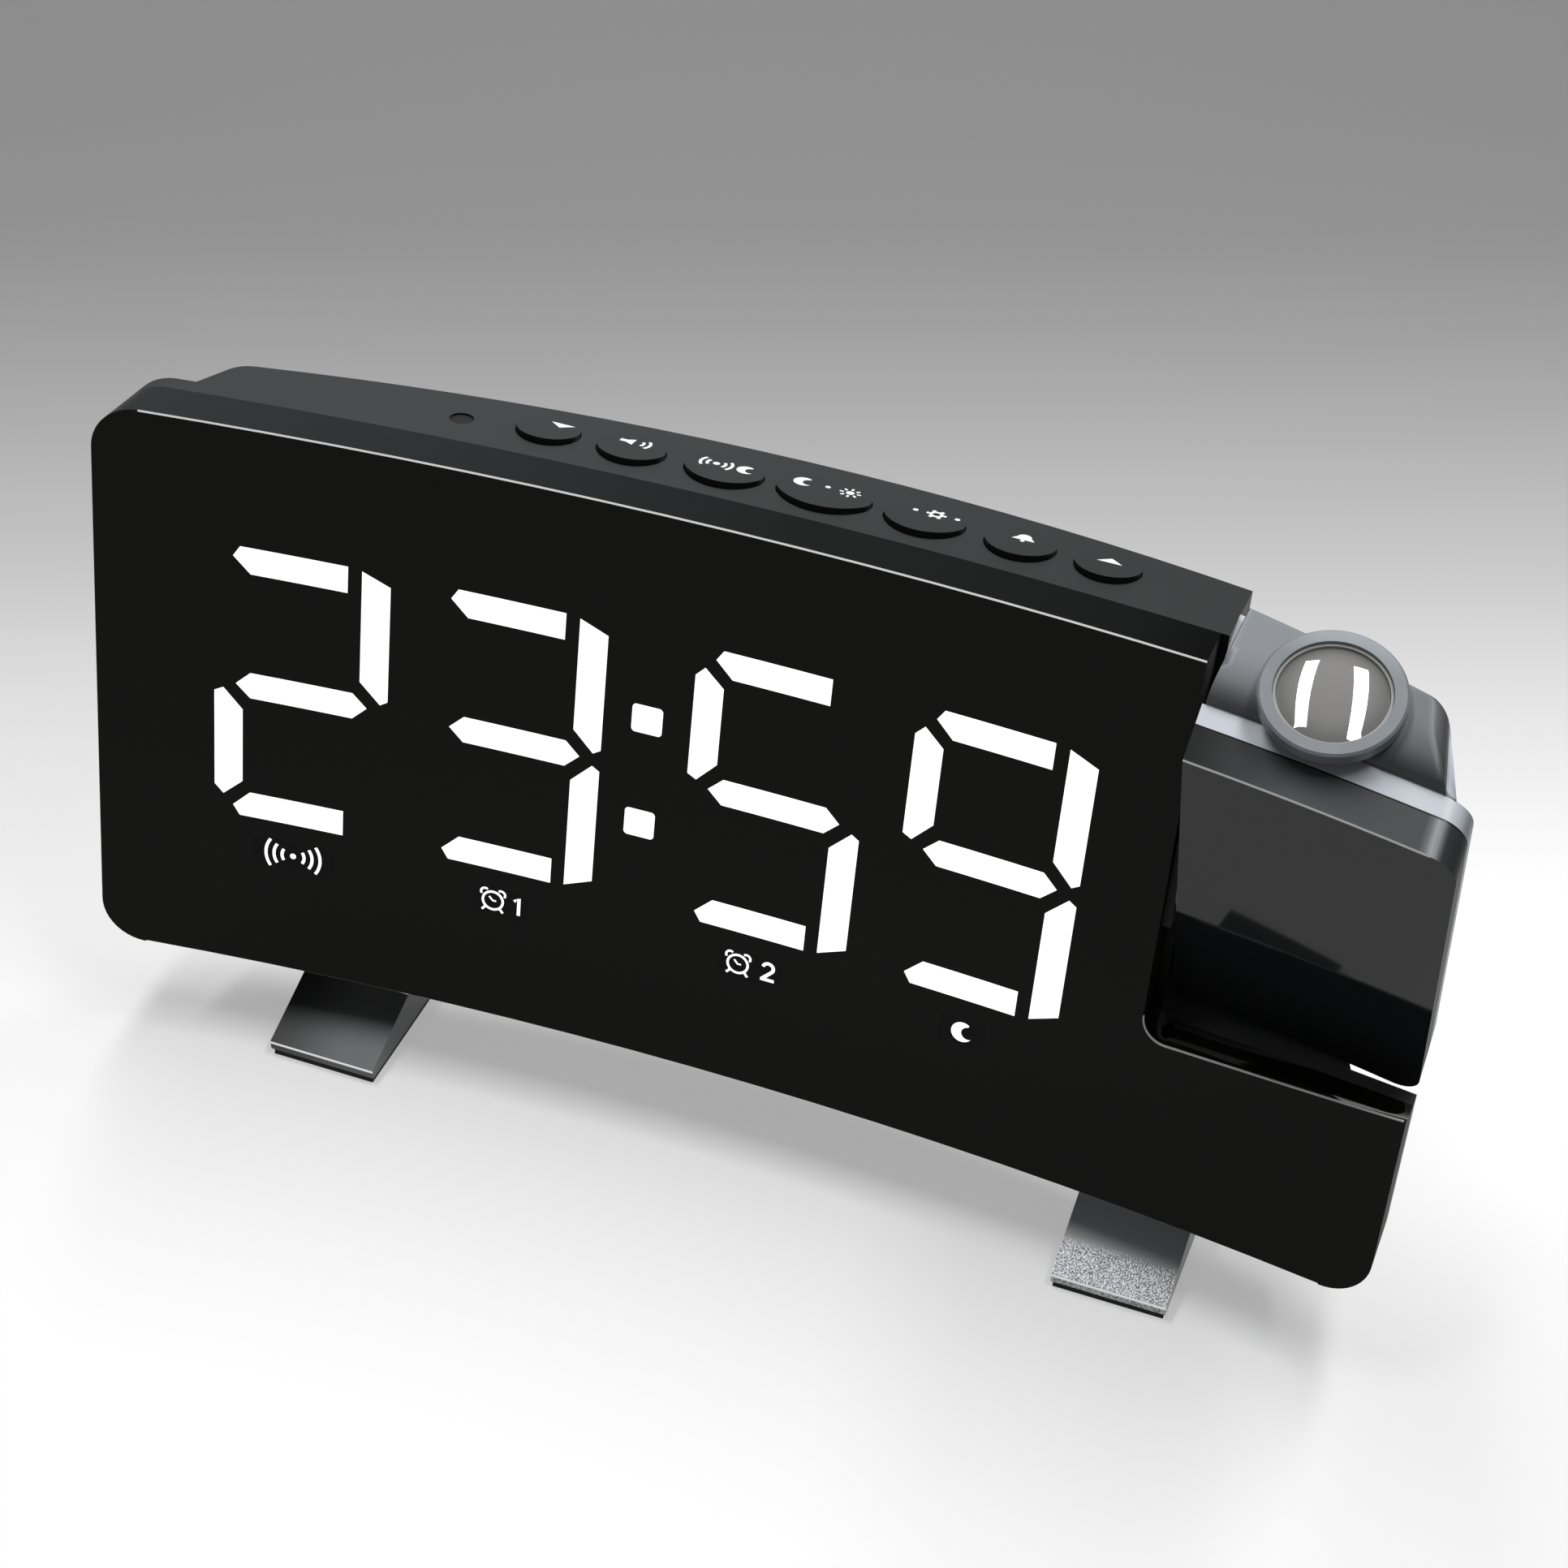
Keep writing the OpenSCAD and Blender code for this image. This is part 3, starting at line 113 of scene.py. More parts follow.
class Shade:
    """A socket in an expression: arithmetic on it adds Math nodes."""

    def __init__(self, finish, socket):
        self.finish = finish
        self.socket = socket

    def math(self, operation, *others):
        """A Math node whose first value is this one."""
        values = dict(enumerate((self,) + others))
        return self.finish.node("ShaderNodeMath", {"operation": operation}, values)

    def __add__(self, other):
        return self.math("ADD", other)

    def __sub__(self, other):
        return self.math("SUBTRACT", other)

    def __mul__(self, other):
        return self.math("MULTIPLY", other)

    def __pow__(self, other):
        return self.math("POWER", other)

    def __rsub__(self, other):
        return self.finish.node("ShaderNodeMath", {"operation": "SUBTRACT"}, {0: other, 1: self})

    __radd__ = __add__
    __rmul__ = __mul__

    def between(self, low, high):
        """0 at low and 1 at high, and beyond them, with a soft step between."""
        limits = {"Value": self, "From Min": low, "From Max": high}
        step = {"interpolation_type": "SMOOTHSTEP"}
        return self.finish.node("ShaderNodeMapRange", step, limits)

    def near(self, value, reach):
        """1 within reach of value, and 0 outside it."""
        return self.math("COMPARE", value, reach)


class Finish:
    """A procedural material with one Principled surface."""

    def __init__(self, name, **constants):
        self.material = bpy.data.materials.new(name)
        self.material.use_nodes = True
        self.tree = self.material.node_tree
        self.tree.nodes.clear()
        self.surface = self.tree.nodes.new("ShaderNodeBsdfPrincipled")
        output = self.tree.nodes.new("ShaderNodeOutputMaterial")
        self.tree.links.new(self.surface.outputs["BSDF"], output.inputs["Surface"])
        self.set(**constants)

    def set(self, **values):
        """Gives the surface's sockets their values or links: base_color stands for Base Color."""
        for name, value in values.items():
            title = " ".join(word.capitalize() for word in name.split("_"))
            self.put(self.surface.inputs[title.replace("Ior", "IOR")], value)

    def put(self, socket, value):
        """Links a socket to an expression, or gives it a plain value."""
        if isinstance(value, Shade):
            self.tree.links.new(value.socket, socket)
        elif socket.type == "RGBA" and len(value) == 3:
            socket.default_value = (*value, 1)
        else:
            socket.default_value = value

    def node(self, kind, settings=None, values=None, output=0):
        """Adds a node: its settings first, then the values or links of its sockets."""
        made = self.tree.nodes.new(kind)
        for name, value in (settings or {}).items():
            if name == "stops":
                self.set_stops(made.color_ramp, value)
            else:
                setattr(made, name, value)
        for name, value in (values or {}).items():
            self.put(made.inputs[name], value)
        return Shade(self, made.outputs[output])

    def set_stops(self, ramp, stops):
        """Gives a ramp its stops, from left to right."""
        while len(ramp.elements) < len(stops):
            ramp.elements.new(1.0)
        for element, (place, colour) in zip(ramp.elements, stops):
            element.position = place
            element.color = (*colour, 1)

    def place(self):
        """Where a point lies, in metres of the frame at rest."""
        return self.node("ShaderNodeTexCoord", output="Object")

    def noise(self, size, detail=2.0):
        """Cloudy noise from 0 to 1, whose patches are about size metres across."""
        values = {"Vector": self.place(), "Scale": 1 / size, "Detail": detail}
        return self.node("ShaderNodeTexNoise", None, values)

    def vector(self, operation, a, b, output=0):
        """A Vector Math node on a vector and a second one, or on a vector and its scale."""
        values = {0: a, "Scale" if operation == "SCALE" else 1: b}
        return self.node("ShaderNodeVectorMath", {"operation": operation}, values, output)

    def light_path(self, ray):
        """1 for one kind of ray, and 0 for the others."""
        return self.node("ShaderNodeLightPath", output=ray)

    def ramp(self, factor, stops):
        """Colours that blend from one stop to the next: each stop is a place and a colour."""
        return self.node("ShaderNodeValToRGB", {"stops": stops}, {"Fac": factor})

    def mix(self, factor, a, b):
        """Colour a where factor is 0, and b where it is 1."""
        return self.node("ShaderNodeMix", {"data_type": "RGBA"}, {0: factor, 6: a, 7: b}, 2)

    def facing(self, direction, normal="True Normal"):
        """How squarely the surface faces a direction of the frame at rest, from -1 to 1."""
        world = self.node("ShaderNodeNewGeometry", output=normal)
        way = {"vector_type": "NORMAL", "convert_from": "WORLD", "convert_to": "OBJECT"}
        turned = self.node("ShaderNodeVectorTransform", way, {"Vector": world})
        return self.vector("DOT_PRODUCT", turned, direction, "Value")

    def along(self, matrix, axis, origin):
        """Millimetres along one of the housing's axes from an origin on it."""
        gap = self.vector("SUBTRACT", self.place(), matrix @ Vector(origin))
        return self.vector("DOT_PRODUCT", gap, axis_of(matrix, axis), "Value") * (1 / MM)

    def frame_mm(self, axis):
        """Millimetres along one of the frame's own axes."""
        direction = [1 / MM if i == axis else 0 for i in range(3)]
        return self.vector("DOT_PRODUCT", self.place(), direction, "Value")

    def behind_front(self, matrix):
        """How many millimetres a point lies behind the hollow front."""
        across = self.along(matrix, ACROSS, (0, 0, 0))
        back = self.along(matrix, BACK, (0, -FRONT_RADIUS, 0))
        return (across * across + back * back) ** 0.5 - FRONT_RADIUS

    def bump(self, height, distance):
        """Raises the surface by up to a distance in metres, where height is 1."""
        values = {"Height": height, "Distance": distance, "Strength": 1.0}
        self.set(normal=self.node("ShaderNodeBump", None, values))


# A surface counts as facing a way from the first to the second of these on the scale of facing.
FACES = (0.5, 0.9)
GRAIN_DETAIL = 3.0


def grain_bump(finish, size, depth):
    """The fine grain of a spark-eroded mould, with its size and depth in metres."""
    finish.bump(finish.noise(size, GRAIN_DETAIL), depth)


def mottled(name, size, dark, pale, **constants):
    """A finish whose colour drifts between two tones, over patches with a size in metres."""
    finish = Finish(name, **constants)
    finish.set(base_color=finish.mix(finish.noise(size), dark, pale))
    return finish


def toned(colour, level):
    """A colour made lighter or darker."""
    return [value * level for value in colour]


# ---------- meshes ----------


def add_piece(name, mesh_data, matrix, body, finish, smooth=False):
    """Makes a piece from a bmesh drawn in millimetres, and lets it ride on a body."""
    bmesh.ops.transform(mesh_data, matrix=matrix, verts=mesh_data.verts)
    bmesh.ops.recalc_face_normals(mesh_data, faces=mesh_data.faces)
    mesh = bpy.data.meshes.new(name)
    mesh_data.to_mesh(mesh)
    mesh_data.free()
    if smooth:
        mesh.polygons.foreach_set("use_smooth", [True] * len(mesh.polygons))
    piece = bpy.data.objects.new(name, mesh)
    bpy.context.scene.collection.objects.link(piece)
    mesh.materials.append(finish.material)
    if body:
        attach(piece, body)
    return piece


def dress(finish, *names):
    """Gives CAD nodes their finish."""
    for name in names:
        for slot in NODES[name].material_slots:
            slot.material = finish.material


# Points of a CAD node that are closer than this, in millimetres, become one.
MERGE_WITHIN = 0.002


def copy_node(name):
    """A bmesh of a CAD node in millimetres."""
    mesh_data = bmesh.new()
    mesh_data.from_mesh(NODES[name].data)
    bmesh.ops.transform(mesh_data, matrix=Matrix.Scale(1 / MM, 4), verts=mesh_data.verts)
    bmesh.ops.remove_doubles(mesh_data, verts=mesh_data.verts, dist=MERGE_WITHIN)
    return mesh_data


def join(mesh_data, low, high):
    """Faces between two rings with as many points."""
    count = len(low)
    for i in range(count):
        j = (i + 1) % count
        mesh_data.faces.new([low[i], low[j], high[j], high[i]])


# Two corners are the same if they are this close in metres, and their faces lie this much alike.
SAME_PLACE = 0.00001
SAME_WAY = 0.999


def keep_shading(mesh, source):
    """Gives the faces of a changed copy that are as they were the shading that they had."""
    owners = [face.normal for face in source.polygons for _ in face.loop_indices]
    corners = KDTree(len(source.loops))
    for corner in source.loops:
        corners.insert(source.vertices[corner.vertex_index].co, corner.index)
    corners.balance()
    normals = []
    for face in mesh.polygons:
        kept = {}
        for i in face.loop_indices:
            place = mesh.vertices[mesh.loops[i].vertex_index].co
            near = corners.find_range(place, SAME_PLACE)
            found = [(owners[index].dot(face.normal), index) for _, index, _ in near]
            alike, match = max(found, default=(0, 0))
            if alike > SAME_WAY:
                kept[i] = source.corner_normals[match].vector.copy()
        for i in face.loop_indices:
            other = face.normal if kept else mesh.corner_normals[i].vector
            normals.append(kept.get(i, other.copy()))
    mesh.normals_split_custom_set(normals)


# Angles in degrees: faces within the first count as one, an edge above the second is rounded off
# if it runs along X this nearly, and an edge of the finished piece above the third shows as one.
FLAT_ANGLE = 0.5
HARD_ANGLE = 35
SHOWN_ANGLE = 40
ALONG_X = 0.9


def is_hard(edge):
    """Whether an edge is sharp and runs along X."""
    way = (edge.verts[1].co - edge.verts[0].co).normalized()
    sharp = edge.is_manifold and edge.calc_face_angle() > math.radians(HARD_ANGLE)
    return sharp and abs(way.x) > ALONG_X


def soften(name, body, width, finish):
    """Stands in for a CAD node with the same piece, whose hard edges along X are rounded off."""
    mesh_data = copy_node(name)
    bmesh.ops.dissolve_limit(
        mesh_data, angle_limit=math.radians(FLAT_ANGLE),
        verts=mesh_data.verts, edges=mesh_data.edges)
    bmesh.ops.bevel(
        mesh_data, geom=[edge for edge in mesh_data.edges if is_hard(edge)],
        offset=width, segments=3, profile=0.5, affect="EDGES", clamp_overlap=True)
    piece = add_piece(
        f"{name}_soft", mesh_data, Matrix.Scale(MM, 4), body, finish, smooth=True)
    piece.data.set_sharp_from_angle(angle=math.radians(SHOWN_ANGLE))
    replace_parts(piece, name)


class Print:
    """Flat marks drawn as thin closed solids.

    at(u, v, below) says where a point of the drawing lies, at a depth below its face.
    """

    def __init__(self, mesh_data, at, thickness):
        self.mesh = mesh_data
        self.at = at
        self.thickness = thickness

    def ring(self, points, depth):
        """The corners of an outline at a depth."""
        return [self.mesh.verts.new(self.at(u, v, depth)) for u, v in points]

    def area(self, points):
        """A filled outline."""
        face, back = self.ring(points, 0.0), self.ring(points, self.thickness)
        self.mesh.faces.new(face)
        self.mesh.faces.new(back)
        join(self.mesh, face, back)

    def line(self, points, width, closed=False):
        """A stroke of one width along some points."""
        count = len(points)
        sides = []
        for i in range(count):
            before = points[i - 1] if closed or i else points[i]
            after = points[(i + 1) % count] if closed or i < count - 1 else points[i]
            way = (Vector(after) - Vector(before)).normalized()
            across = Vector((-way.y, way.x)) * width / 2
            sides.append((Vector(points[i]) + across, Vector(points[i]) - across))
        left, right = zip(*sides)
        depths = (0.0, self.thickness)
        rings = [self.ring(side, depth) for side in (left, right) for depth in depths]
        for i in range(count if closed else count - 1):
            j = (i + 1) % count
            for a, b in ((0, 1), (1, 3), (3, 2), (2, 0)):
                self.mesh.faces.new([rings[a][i], rings[a][j], rings[b][j], rings[b][i]])
        if not closed:
            for i in (0, count - 1):
                self.mesh.faces.new([rings[k][i] for k in (0, 1, 3, 2)])


def arc(centre, radius, start, end, steps=16):
    """Points on an arc, with its angles in degrees."""
    x, y = centre
    turns = [math.radians(start + (end - start) * i / steps) for i in range(steps + 1)]
    return [(x + radius * math.cos(turn), y + radius * math.sin(turn)) for turn in turns]


def circle(centre, radius, steps=24):
    """Points all round a circle."""
    return arc(centre, radius, 0, 360, steps)[:-1]


# ---------- settings ----------


class ClockSizes(bpy.types.PropertyGroup):
    """Sizes of the added pieces and depths of the finishes."""

    sign_proud: FloatProperty(
        name="Sign proud", description="How far a lit sign stands out of its window",
        default=0.00004, min=0.0, max=0.0002, unit="LENGTH", precision=6)
    print_proud: FloatProperty(
        name="Print proud", description="How far a printed mark stands out of its key",
        default=0.00004, min=0.0, max=0.0002, unit="LENGTH", precision=6)
    grain_size: FloatProperty(
        name="Grain size", description="Size of the mould's grain on the matte housing",
        default=0.00035, min=0.0001, max=0.002, unit="LENGTH", precision=6)
    grain_depth: FloatProperty(
        name="Grain depth", description="Depth of the mould's grain on the matte housing",
        default=0.00001, min=0.0, max=0.0002, unit="LENGTH", precision=6)


class ClockColours(bpy.types.PropertyGroup):
    """Colours of the visible finishes."""

    gloss: FloatVectorProperty(
        name="Gloss black", description="Colour of the polished front",
        subtype="COLOR", default=(0.0042, 0.0040, 0.0032), min=0.0, max=1.0)
    # The top edges are lighter than the face as a painted reflection.
    painted_edge_sheen: FloatVectorProperty(
        name="Gloss edge", description="Colour of the polished front's top edges",
        subtype="COLOR", default=(0.026, 0.027, 0.028), min=0.0, max=1.0)
    # The bright line on the chamfered edges and along the hollow's edge is a painted highlight.
    painted_highlight: FloatVectorProperty(
        name="Edge line", description="Colour of the cut line along the front's top edges",
        subtype="COLOR", default=(0.62, 0.62, 0.62), min=0.0, max=1.0)
    matte: FloatVectorProperty(
        name="Matte black", description="Colour of the grained rear cover",
        subtype="COLOR", default=(0.037, 0.038, 0.039), min=0.0, max=1.0)
    shell: FloatVectorProperty(
        name="Grey shell", description="Colour of the projector's shell",
        subtype="COLOR", default=(0.170, 0.182, 0.198), min=0.0, max=1.0)
    light: FloatVectorProperty(
        name="Digit light", description="Colour of the lit digits and signs",
        subtype="COLOR", default=(1.0, 1.0, 1.0), min=0.0, max=1.0)
    metal: FloatVectorProperty(
        name="Foot metal", description="Colour of the satin feet",
        subtype="COLOR", default=(0.46, 0.47, 0.49), min=0.0, max=1.0)
    floor: FloatVectorProperty(
        name="Floor", description="Colour of the floor in front of the clock",
        subtype="COLOR", default=(1.0, 1.0, 1.0), min=0.0, max=1.0)


# ---------- glossy front ----------

# The glossy pieces: the matrix that sets each into the frame, its share of mirrored light, the tone
# of its face, raised on the plate as a painted reflection, how far behind the face its top edge
# turns dark, and that edge's tones across the body from left to right, a painted reflection that
# holds a painted highlight streak at the plate's right corner.
GLOSS = (
    ("front_panel", LEANED, 0.075, (1.0, 1.0, 1.0), 20.0, (
        (0.0, 1.1), (0.18, 0.84), (0.3, 0.72), (0.43, 0.52), (0.5, 0.4), (0.62, 0.34),
        (0.75, 0.24), (0.8, 0.1))),
    # The plate's face tones brighten the gloss black as a painted reflection of the floor.
    ("projector_plate", TILTED, 0.16, (4.6, 5.2, 7.0), 5.15, (
        (0.82, 0.4), (0.86, 1.6), (0.889, 3.2), (0.93, 2.4), (0.975, 2.4), (0.981, 12.0),
        (0.986, 1.2))),
)
# How squarely the chamfered edge faces forward, and how far from that it may be: there it takes
# the painted highlight.
HIGHLIGHT_FACING = (0.70, 0.04)
# The top edge's finish and its painted reflection come in over some millimetres above this height.
EDGE_BASE = 70
EDGE_RISE = 8
# Over how many millimetres the top edge turns dark, and by how much.
SEAM_WIDTH = 0.2
SEAM_SHADE = 0.8


def polish(colours, name, matrix, shine, face, seam, tones):
    """Finishes a glossy piece: its face, its top edge with a painted reflection, and a painted
    highlight line on the chamfer between them.
    """
    finish = Finish(f"gloss_{name}", specular_ior_level=shine)
    # The chamfer takes a near-white colour, a painted highlight.
    cut = finish.facing(-axis_of(matrix, BACK)).near(*HIGHLIGHT_FACING)
    high = finish.along(matrix, UP, (0, 0, EDGE_BASE)).between(0, EDGE_RISE)
    edge = finish.facing(axis_of(matrix, UP)).between(*FACES) * high
    across = finish.along(matrix, ACROSS, (-HALF_WIDTH, 0, 0)) * (0.5 / HALF_WIDTH)
    # The top edge's colour across the body is a painted reflection, with a painted highlight
    # streak.
    upper = finish.ramp(across, [(x, toned(colours.painted_edge_sheen, level)) for x, level in tones])
    behind = finish.behind_front(matrix).between(seam, seam + SEAM_WIDTH)
    upper = finish.vector("SCALE", upper, 1 - behind * SEAM_SHADE)
    # On the plate the face's tone is raised as a painted reflection.
    front = [value * level for value, level in zip(colours.gloss, face)]
    finish.set(base_color=finish.mix(cut, finish.mix(edge, front, upper), colours.painted_highlight))
    side = finish.facing((1, 0, 0)).between(*FACES)
    finish.set(roughness=0.03 + finish.noise(0.03) * 0.03 + edge * 0.25 + side * 0.5)
    dress(finish, name)


# The bright bead along the front edge of the round hollow below the projector, a painted
# highlight, in millimetres. It lies a drop below the edge, and follows the hollow's round corner on
# the left.
STEP_LEFT = 58.25
STEP_RIGHT = 94.7
STEP_RADIUS = 24.29
STEP_CORNER = 3.6
STEP_DROP = 0.1
STEP_COUNT = 48
# Above 1, the bead's points crowd towards that corner.
STEP_CROWDING = 1.6
BEAD_WIDTH = 0.2
BEAD_PROUD = 0.03
BEAD_THICKNESS = 0.25


def step_highlight():
    """The path of the painted highlight along the front edge of the round hollow below the
    projector, from left to right.
    """
    _, pivot_y, pivot_z = PIVOT_ON_HOUSING
    points = []
    for i in range(STEP_COUNT + 1):
        x = STEP_LEFT + (STEP_RIGHT - STEP_LEFT) * (i / STEP_COUNT) ** STEP_CROWDING
        inner = min(max(STEP_LEFT + STEP_CORNER - x, 0), STEP_CORNER)
        reach = STEP_RADIUS - STEP_CORNER + math.sqrt(STEP_CORNER ** 2 - inner ** 2)
        depth = front_y(x) - pivot_y
        points.append((x, pivot_z - math.sqrt(reach ** 2 - depth ** 2) - STEP_DROP))
    return points


def on_front(x, z, size, proud):
    """Where a point of a drawing lies on the hollow front, round a middle at (x, z)."""
    def at(u, v, below):
        across = x + u * size
        return across, front_y(across) - proud + below, z + v * size
    return at


class CLOCK_OT_front(bpy.types.Operator):
    """Polishes the curved front and the projector's plate, with painted highlight lines on their
    chamfered edges and along the hollow below the projector, and painted reflections on their top
    edges and the plate's face
    """

    bl_idname = "clock.front"
    bl_label = "Gloss front"

    def execute(self, context):
        colours = context.scene.clock_colours
        for row in GLOSS:
            polish(colours, *row)
        # A bright bead along the hollow's front edge, as a painted highlight.
        line = mottled(
            "painted_edge_highlight", 0.01, colours.painted_highlight, toned(colours.painted_highlight, 0.8), roughness=0.3)
        bead = bmesh.new()
        edge = Print(bead, on_front(0, 0, 1, BEAD_PROUD), BEAD_THICKNESS)
        edge.line(step_highlight(), BEAD_WIDTH)
        add_piece("step_highlight", bead, LEANED, "clock_body", line)
        window = mottled(
            "smoked_window", 0.004, (0.0016, 0.0016, 0.0018), (0.003, 0.003, 0.0033),
            specular_ior_level=0.07, roughness=0.04)
        dress(window, "sign_windows")
        cap = mottled(
            "sensor_cap", 0.002, (0.022, 0.022, 0.023), (0.028, 0.028, 0.029),
            specular_ior_level=0.3, roughness=0.3)
        dress(cap, "sensor_window")
        return {"FINISHED"}


# ---------- pictograms ----------
# Each is drawn about (0, 0), and is about two or three millimetres across at size 1.


def waves(mark, reaches, half_angle, width):
    """Arcs on both sides of the middle."""
    for reach in reaches:
        for side in (0, 180):
            mark.line(arc((0, 0), reach, side - half_angle, side + half_angle, 10), width)


def rays(mark, gap, inner, outer, width):
    """Strokes away from the middle, some degrees apart."""
    for turn in range(0, 360, gap):
        mark.line([arc((0, 0), reach, turn, turn, 1)[0] for reach in (inner, outer)], width)


def broadcast(mark):
    """A dot between two sets of waves."""
    mark.area(circle((0, 0), 0.3))
    waves(mark, (1.1, 1.9, 2.7), 34, 0.3)


def alarm_clock(mark):
    """A round clock with two bells, two feet and two hands."""
    mark.line(circle((0, 0), 1.2), 0.28, closed=True)
    mark.line([(-0.45, 0.5), (0, 0), (0.4, 0)], 0.2)
    for side in (-1, 1):
        mark.line(arc((side * 0.95, 1.0), 0.5, 90 - side * 125, 90 + side * 35, 8), 0.26)
        mark.line([(side * 0.85, -0.95), (side * 1.25, -1.45)], 0.28)


def one(mark):
    """The number one."""
    mark.line([(-0.24, 0.28), (0, 0.5), (0, -0.5)], 0.17)


def two(mark):
    """The number two."""
    mark.line(arc((0, 0.22), 0.25, 170, -40, 12) + [(-0.27, -0.42)], 0.16)
    mark.line([(-0.33, -0.42), (0.33, -0.42)], 0.16)


def moon(mark):
    """A crescent moon."""
    outer = arc((0, 0), 1, 55, 325, 24)
    heart = Vector((0.55, 0))
    start, end = (Vector(point) - heart for point in (outer[-1], outer[0]))
    first, last = (math.degrees(math.atan2(*point.yx)) for point in (start, end))
    mark.area(outer + arc(heart, start.length, first, last - 360, 20)[1:-1])


def pointer_to_user(mark):
    """A triangle that points to the front."""
    mark.area([(-1.7, 0.7), (1.7, 0.7), (0, -0.8)])


def pointer_away(mark):
    """A triangle that points to the back."""
    mark.area([(-1.7, -0.7), (1.7, -0.7), (0, 0.8)])


def sound(mark):
    """A loudspeaker with two waves."""
    mark.area([(-2.1, -0.35), (-1.3, -0.35), (-0.4, -0.9), (-0.4, 0.9), (-1.3, 0.35), (-2.1, 0.35)])
    for reach in (1.0, 1.8):
        mark.line(arc((-0.2, 0), reach, -38, 38, 6), 0.36)


def dot(mark):
    """A round dot."""
    mark.area(circle((0, 0), 0.42))


def radio(mark):
    """Waves on both sides of a dot."""
    dot(mark)
    waves(mark, (1.1, 1.9), 38, 0.38)


def sun(mark):
    """A dot with eight rays."""
    mark.area(circle((0, 0), 0.5))
    rays(mark, 45, 0.8, 1.3, 0.3)


def wheel(mark):
    """A toothed wheel."""
    mark.line(circle((0, 0), 0.62), 0.36, closed=True)
    rays(mark, 60, 0.72, 1.15, 0.42)


def bell(mark):
    """A bell with its clapper."""
    mark.area(arc((0, 0.1), 0.75, 0, 180, 12) + [(-1.25, -0.65), (1.25, -0.65)])
    mark.area(circle((0, -0.95), 0.24))


# ---------- digits and signs ----------

# Each lit sign's drawings, with the x and z of their middles on the face and their sizes.
SIGNS = {
    "sign_left": ((broadcast, -66.3, 20.0, 1.5),),
    "sign_alarm_one": ((alarm_clock, -36.3, 20.0, 1.25), (one, -32.4, 19.9, 2.9)),
    "sign_alarm_two": ((alarm_clock, 0.45, 20.05, 1.25), (two, 4.95, 20.05, 3.1)),
    "sign_right": ((moon, 33.75, 20.0, 1.6),),
}
SIGN_THICKNESS = 0.15


class CLOCK_OT_digits(bpy.types.Operator):
    """Lights the digit strokes and adds the small lit signs below them"""

    bl_idname = "clock.digits"
    bl_label = "Digits and signs"

    def execute(self, context):
        colours = context.scene.clock_colours
        light = Finish("lit_white", roughness=0.4, emission_strength=1.0)
        haze = light.noise(0.0015)
        light.set(base_color=light.mix(haze, (0.78, 0.79, 0.8), (0.84, 0.85, 0.86)))
        light.set(emission_color=light.mix(haze, colours.light, (0.97, 0.98, 1.0)))
        dress(light, "display_segments")
        proud = context.scene.clock_sizes.sign_proud / MM
        for name, marks in SIGNS.items():
            pieces = bmesh.new()
            for draw, x, z, size in marks:
                draw(Print(pieces, on_front(x, z, size, proud), SIGN_THICKNESS))
            add_piece(name, pieces, LEANED, "clock_body", light)
        return {"FINISHED"}


# ---------- matte housing and keys ----------

# The keys' front edge, how far they stand out of the top at that edge and at the back, and the
# depth of each from front to back.
KEY_FRONT = 10.3
KEY_RISE = 1.0
KEY_REAR_RISE = 0.1
KEY_DEPTHS = {
    "key_down": 8.2, "key_volume": 8.667, "key_radio": 9.133, "key_snooze": 9.6,
    "key_set": 9.133, "key_alarm": 8.667, "key_up": 8.2}
# Each key's marks, with the x and y of their middles on the housing and their sizes.
KEY_MARKS = {
    "key_down": ((pointer_to_user, -36.8, 16.1, 1.0),),
    "key_volume": ((sound, -25.9, 16.4, 1.15),),
    "key_radio": ((radio, -14.3, 16.0, 1.15), (moon, -10.1, 16.1, 1.3)),
    "key_snooze": ((moon, -2.2, 17.0, 1.4), (dot, 1.2, 17.1, 0.9), (sun, 4.4, 16.9, 1.15)),
    "key_set": ((wheel, 16.5, 16.8, 1.2), (dot, 13.6, 16.8, 0.9), (dot, 19.4, 16.8, 0.9)),
    "key_alarm": ((bell, 28.8, 16.3, 1.25),),
    "key_up": ((pointer_away, 40.7, 15.7, 1.0),),
}
MARK_THICKNESS = 0.12
MATTE_PIECES = {"matte_cover_painted_shade": ("rear_cover", "battery_door"), "matte_keys_painted_shade": tuple(KEY_DEPTHS)}
# The tone of the matte pieces in their pale patches and at their left end, and what they lose of
# it over a span of the body: a painted shade that darkens them towards the right.
MATTE_PALE = 1.12
MATTE_SHADE_FALL = 0.28
MATTE_SPAN = (-60, 60)
# From the first to the second on the scale of facing forward, matte takes the gloss black's colour
# as a painted shade.
MATTE_FRONT_SHADE = (0.1, 0.5)


def on_key(name, x, y, size, proud):
    """Where a point of a drawing lies on the sloping top of a key, round a middle at (x, y)."""
    slope = (KEY_RISE - KEY_REAR_RISE) / KEY_DEPTHS[name]

    def at(u, v, below):
        depth = y + v * size
        top = TOP + KEY_RISE - slope * (depth - KEY_FRONT)
        return x + u * size, depth, top + proud - below
    return at


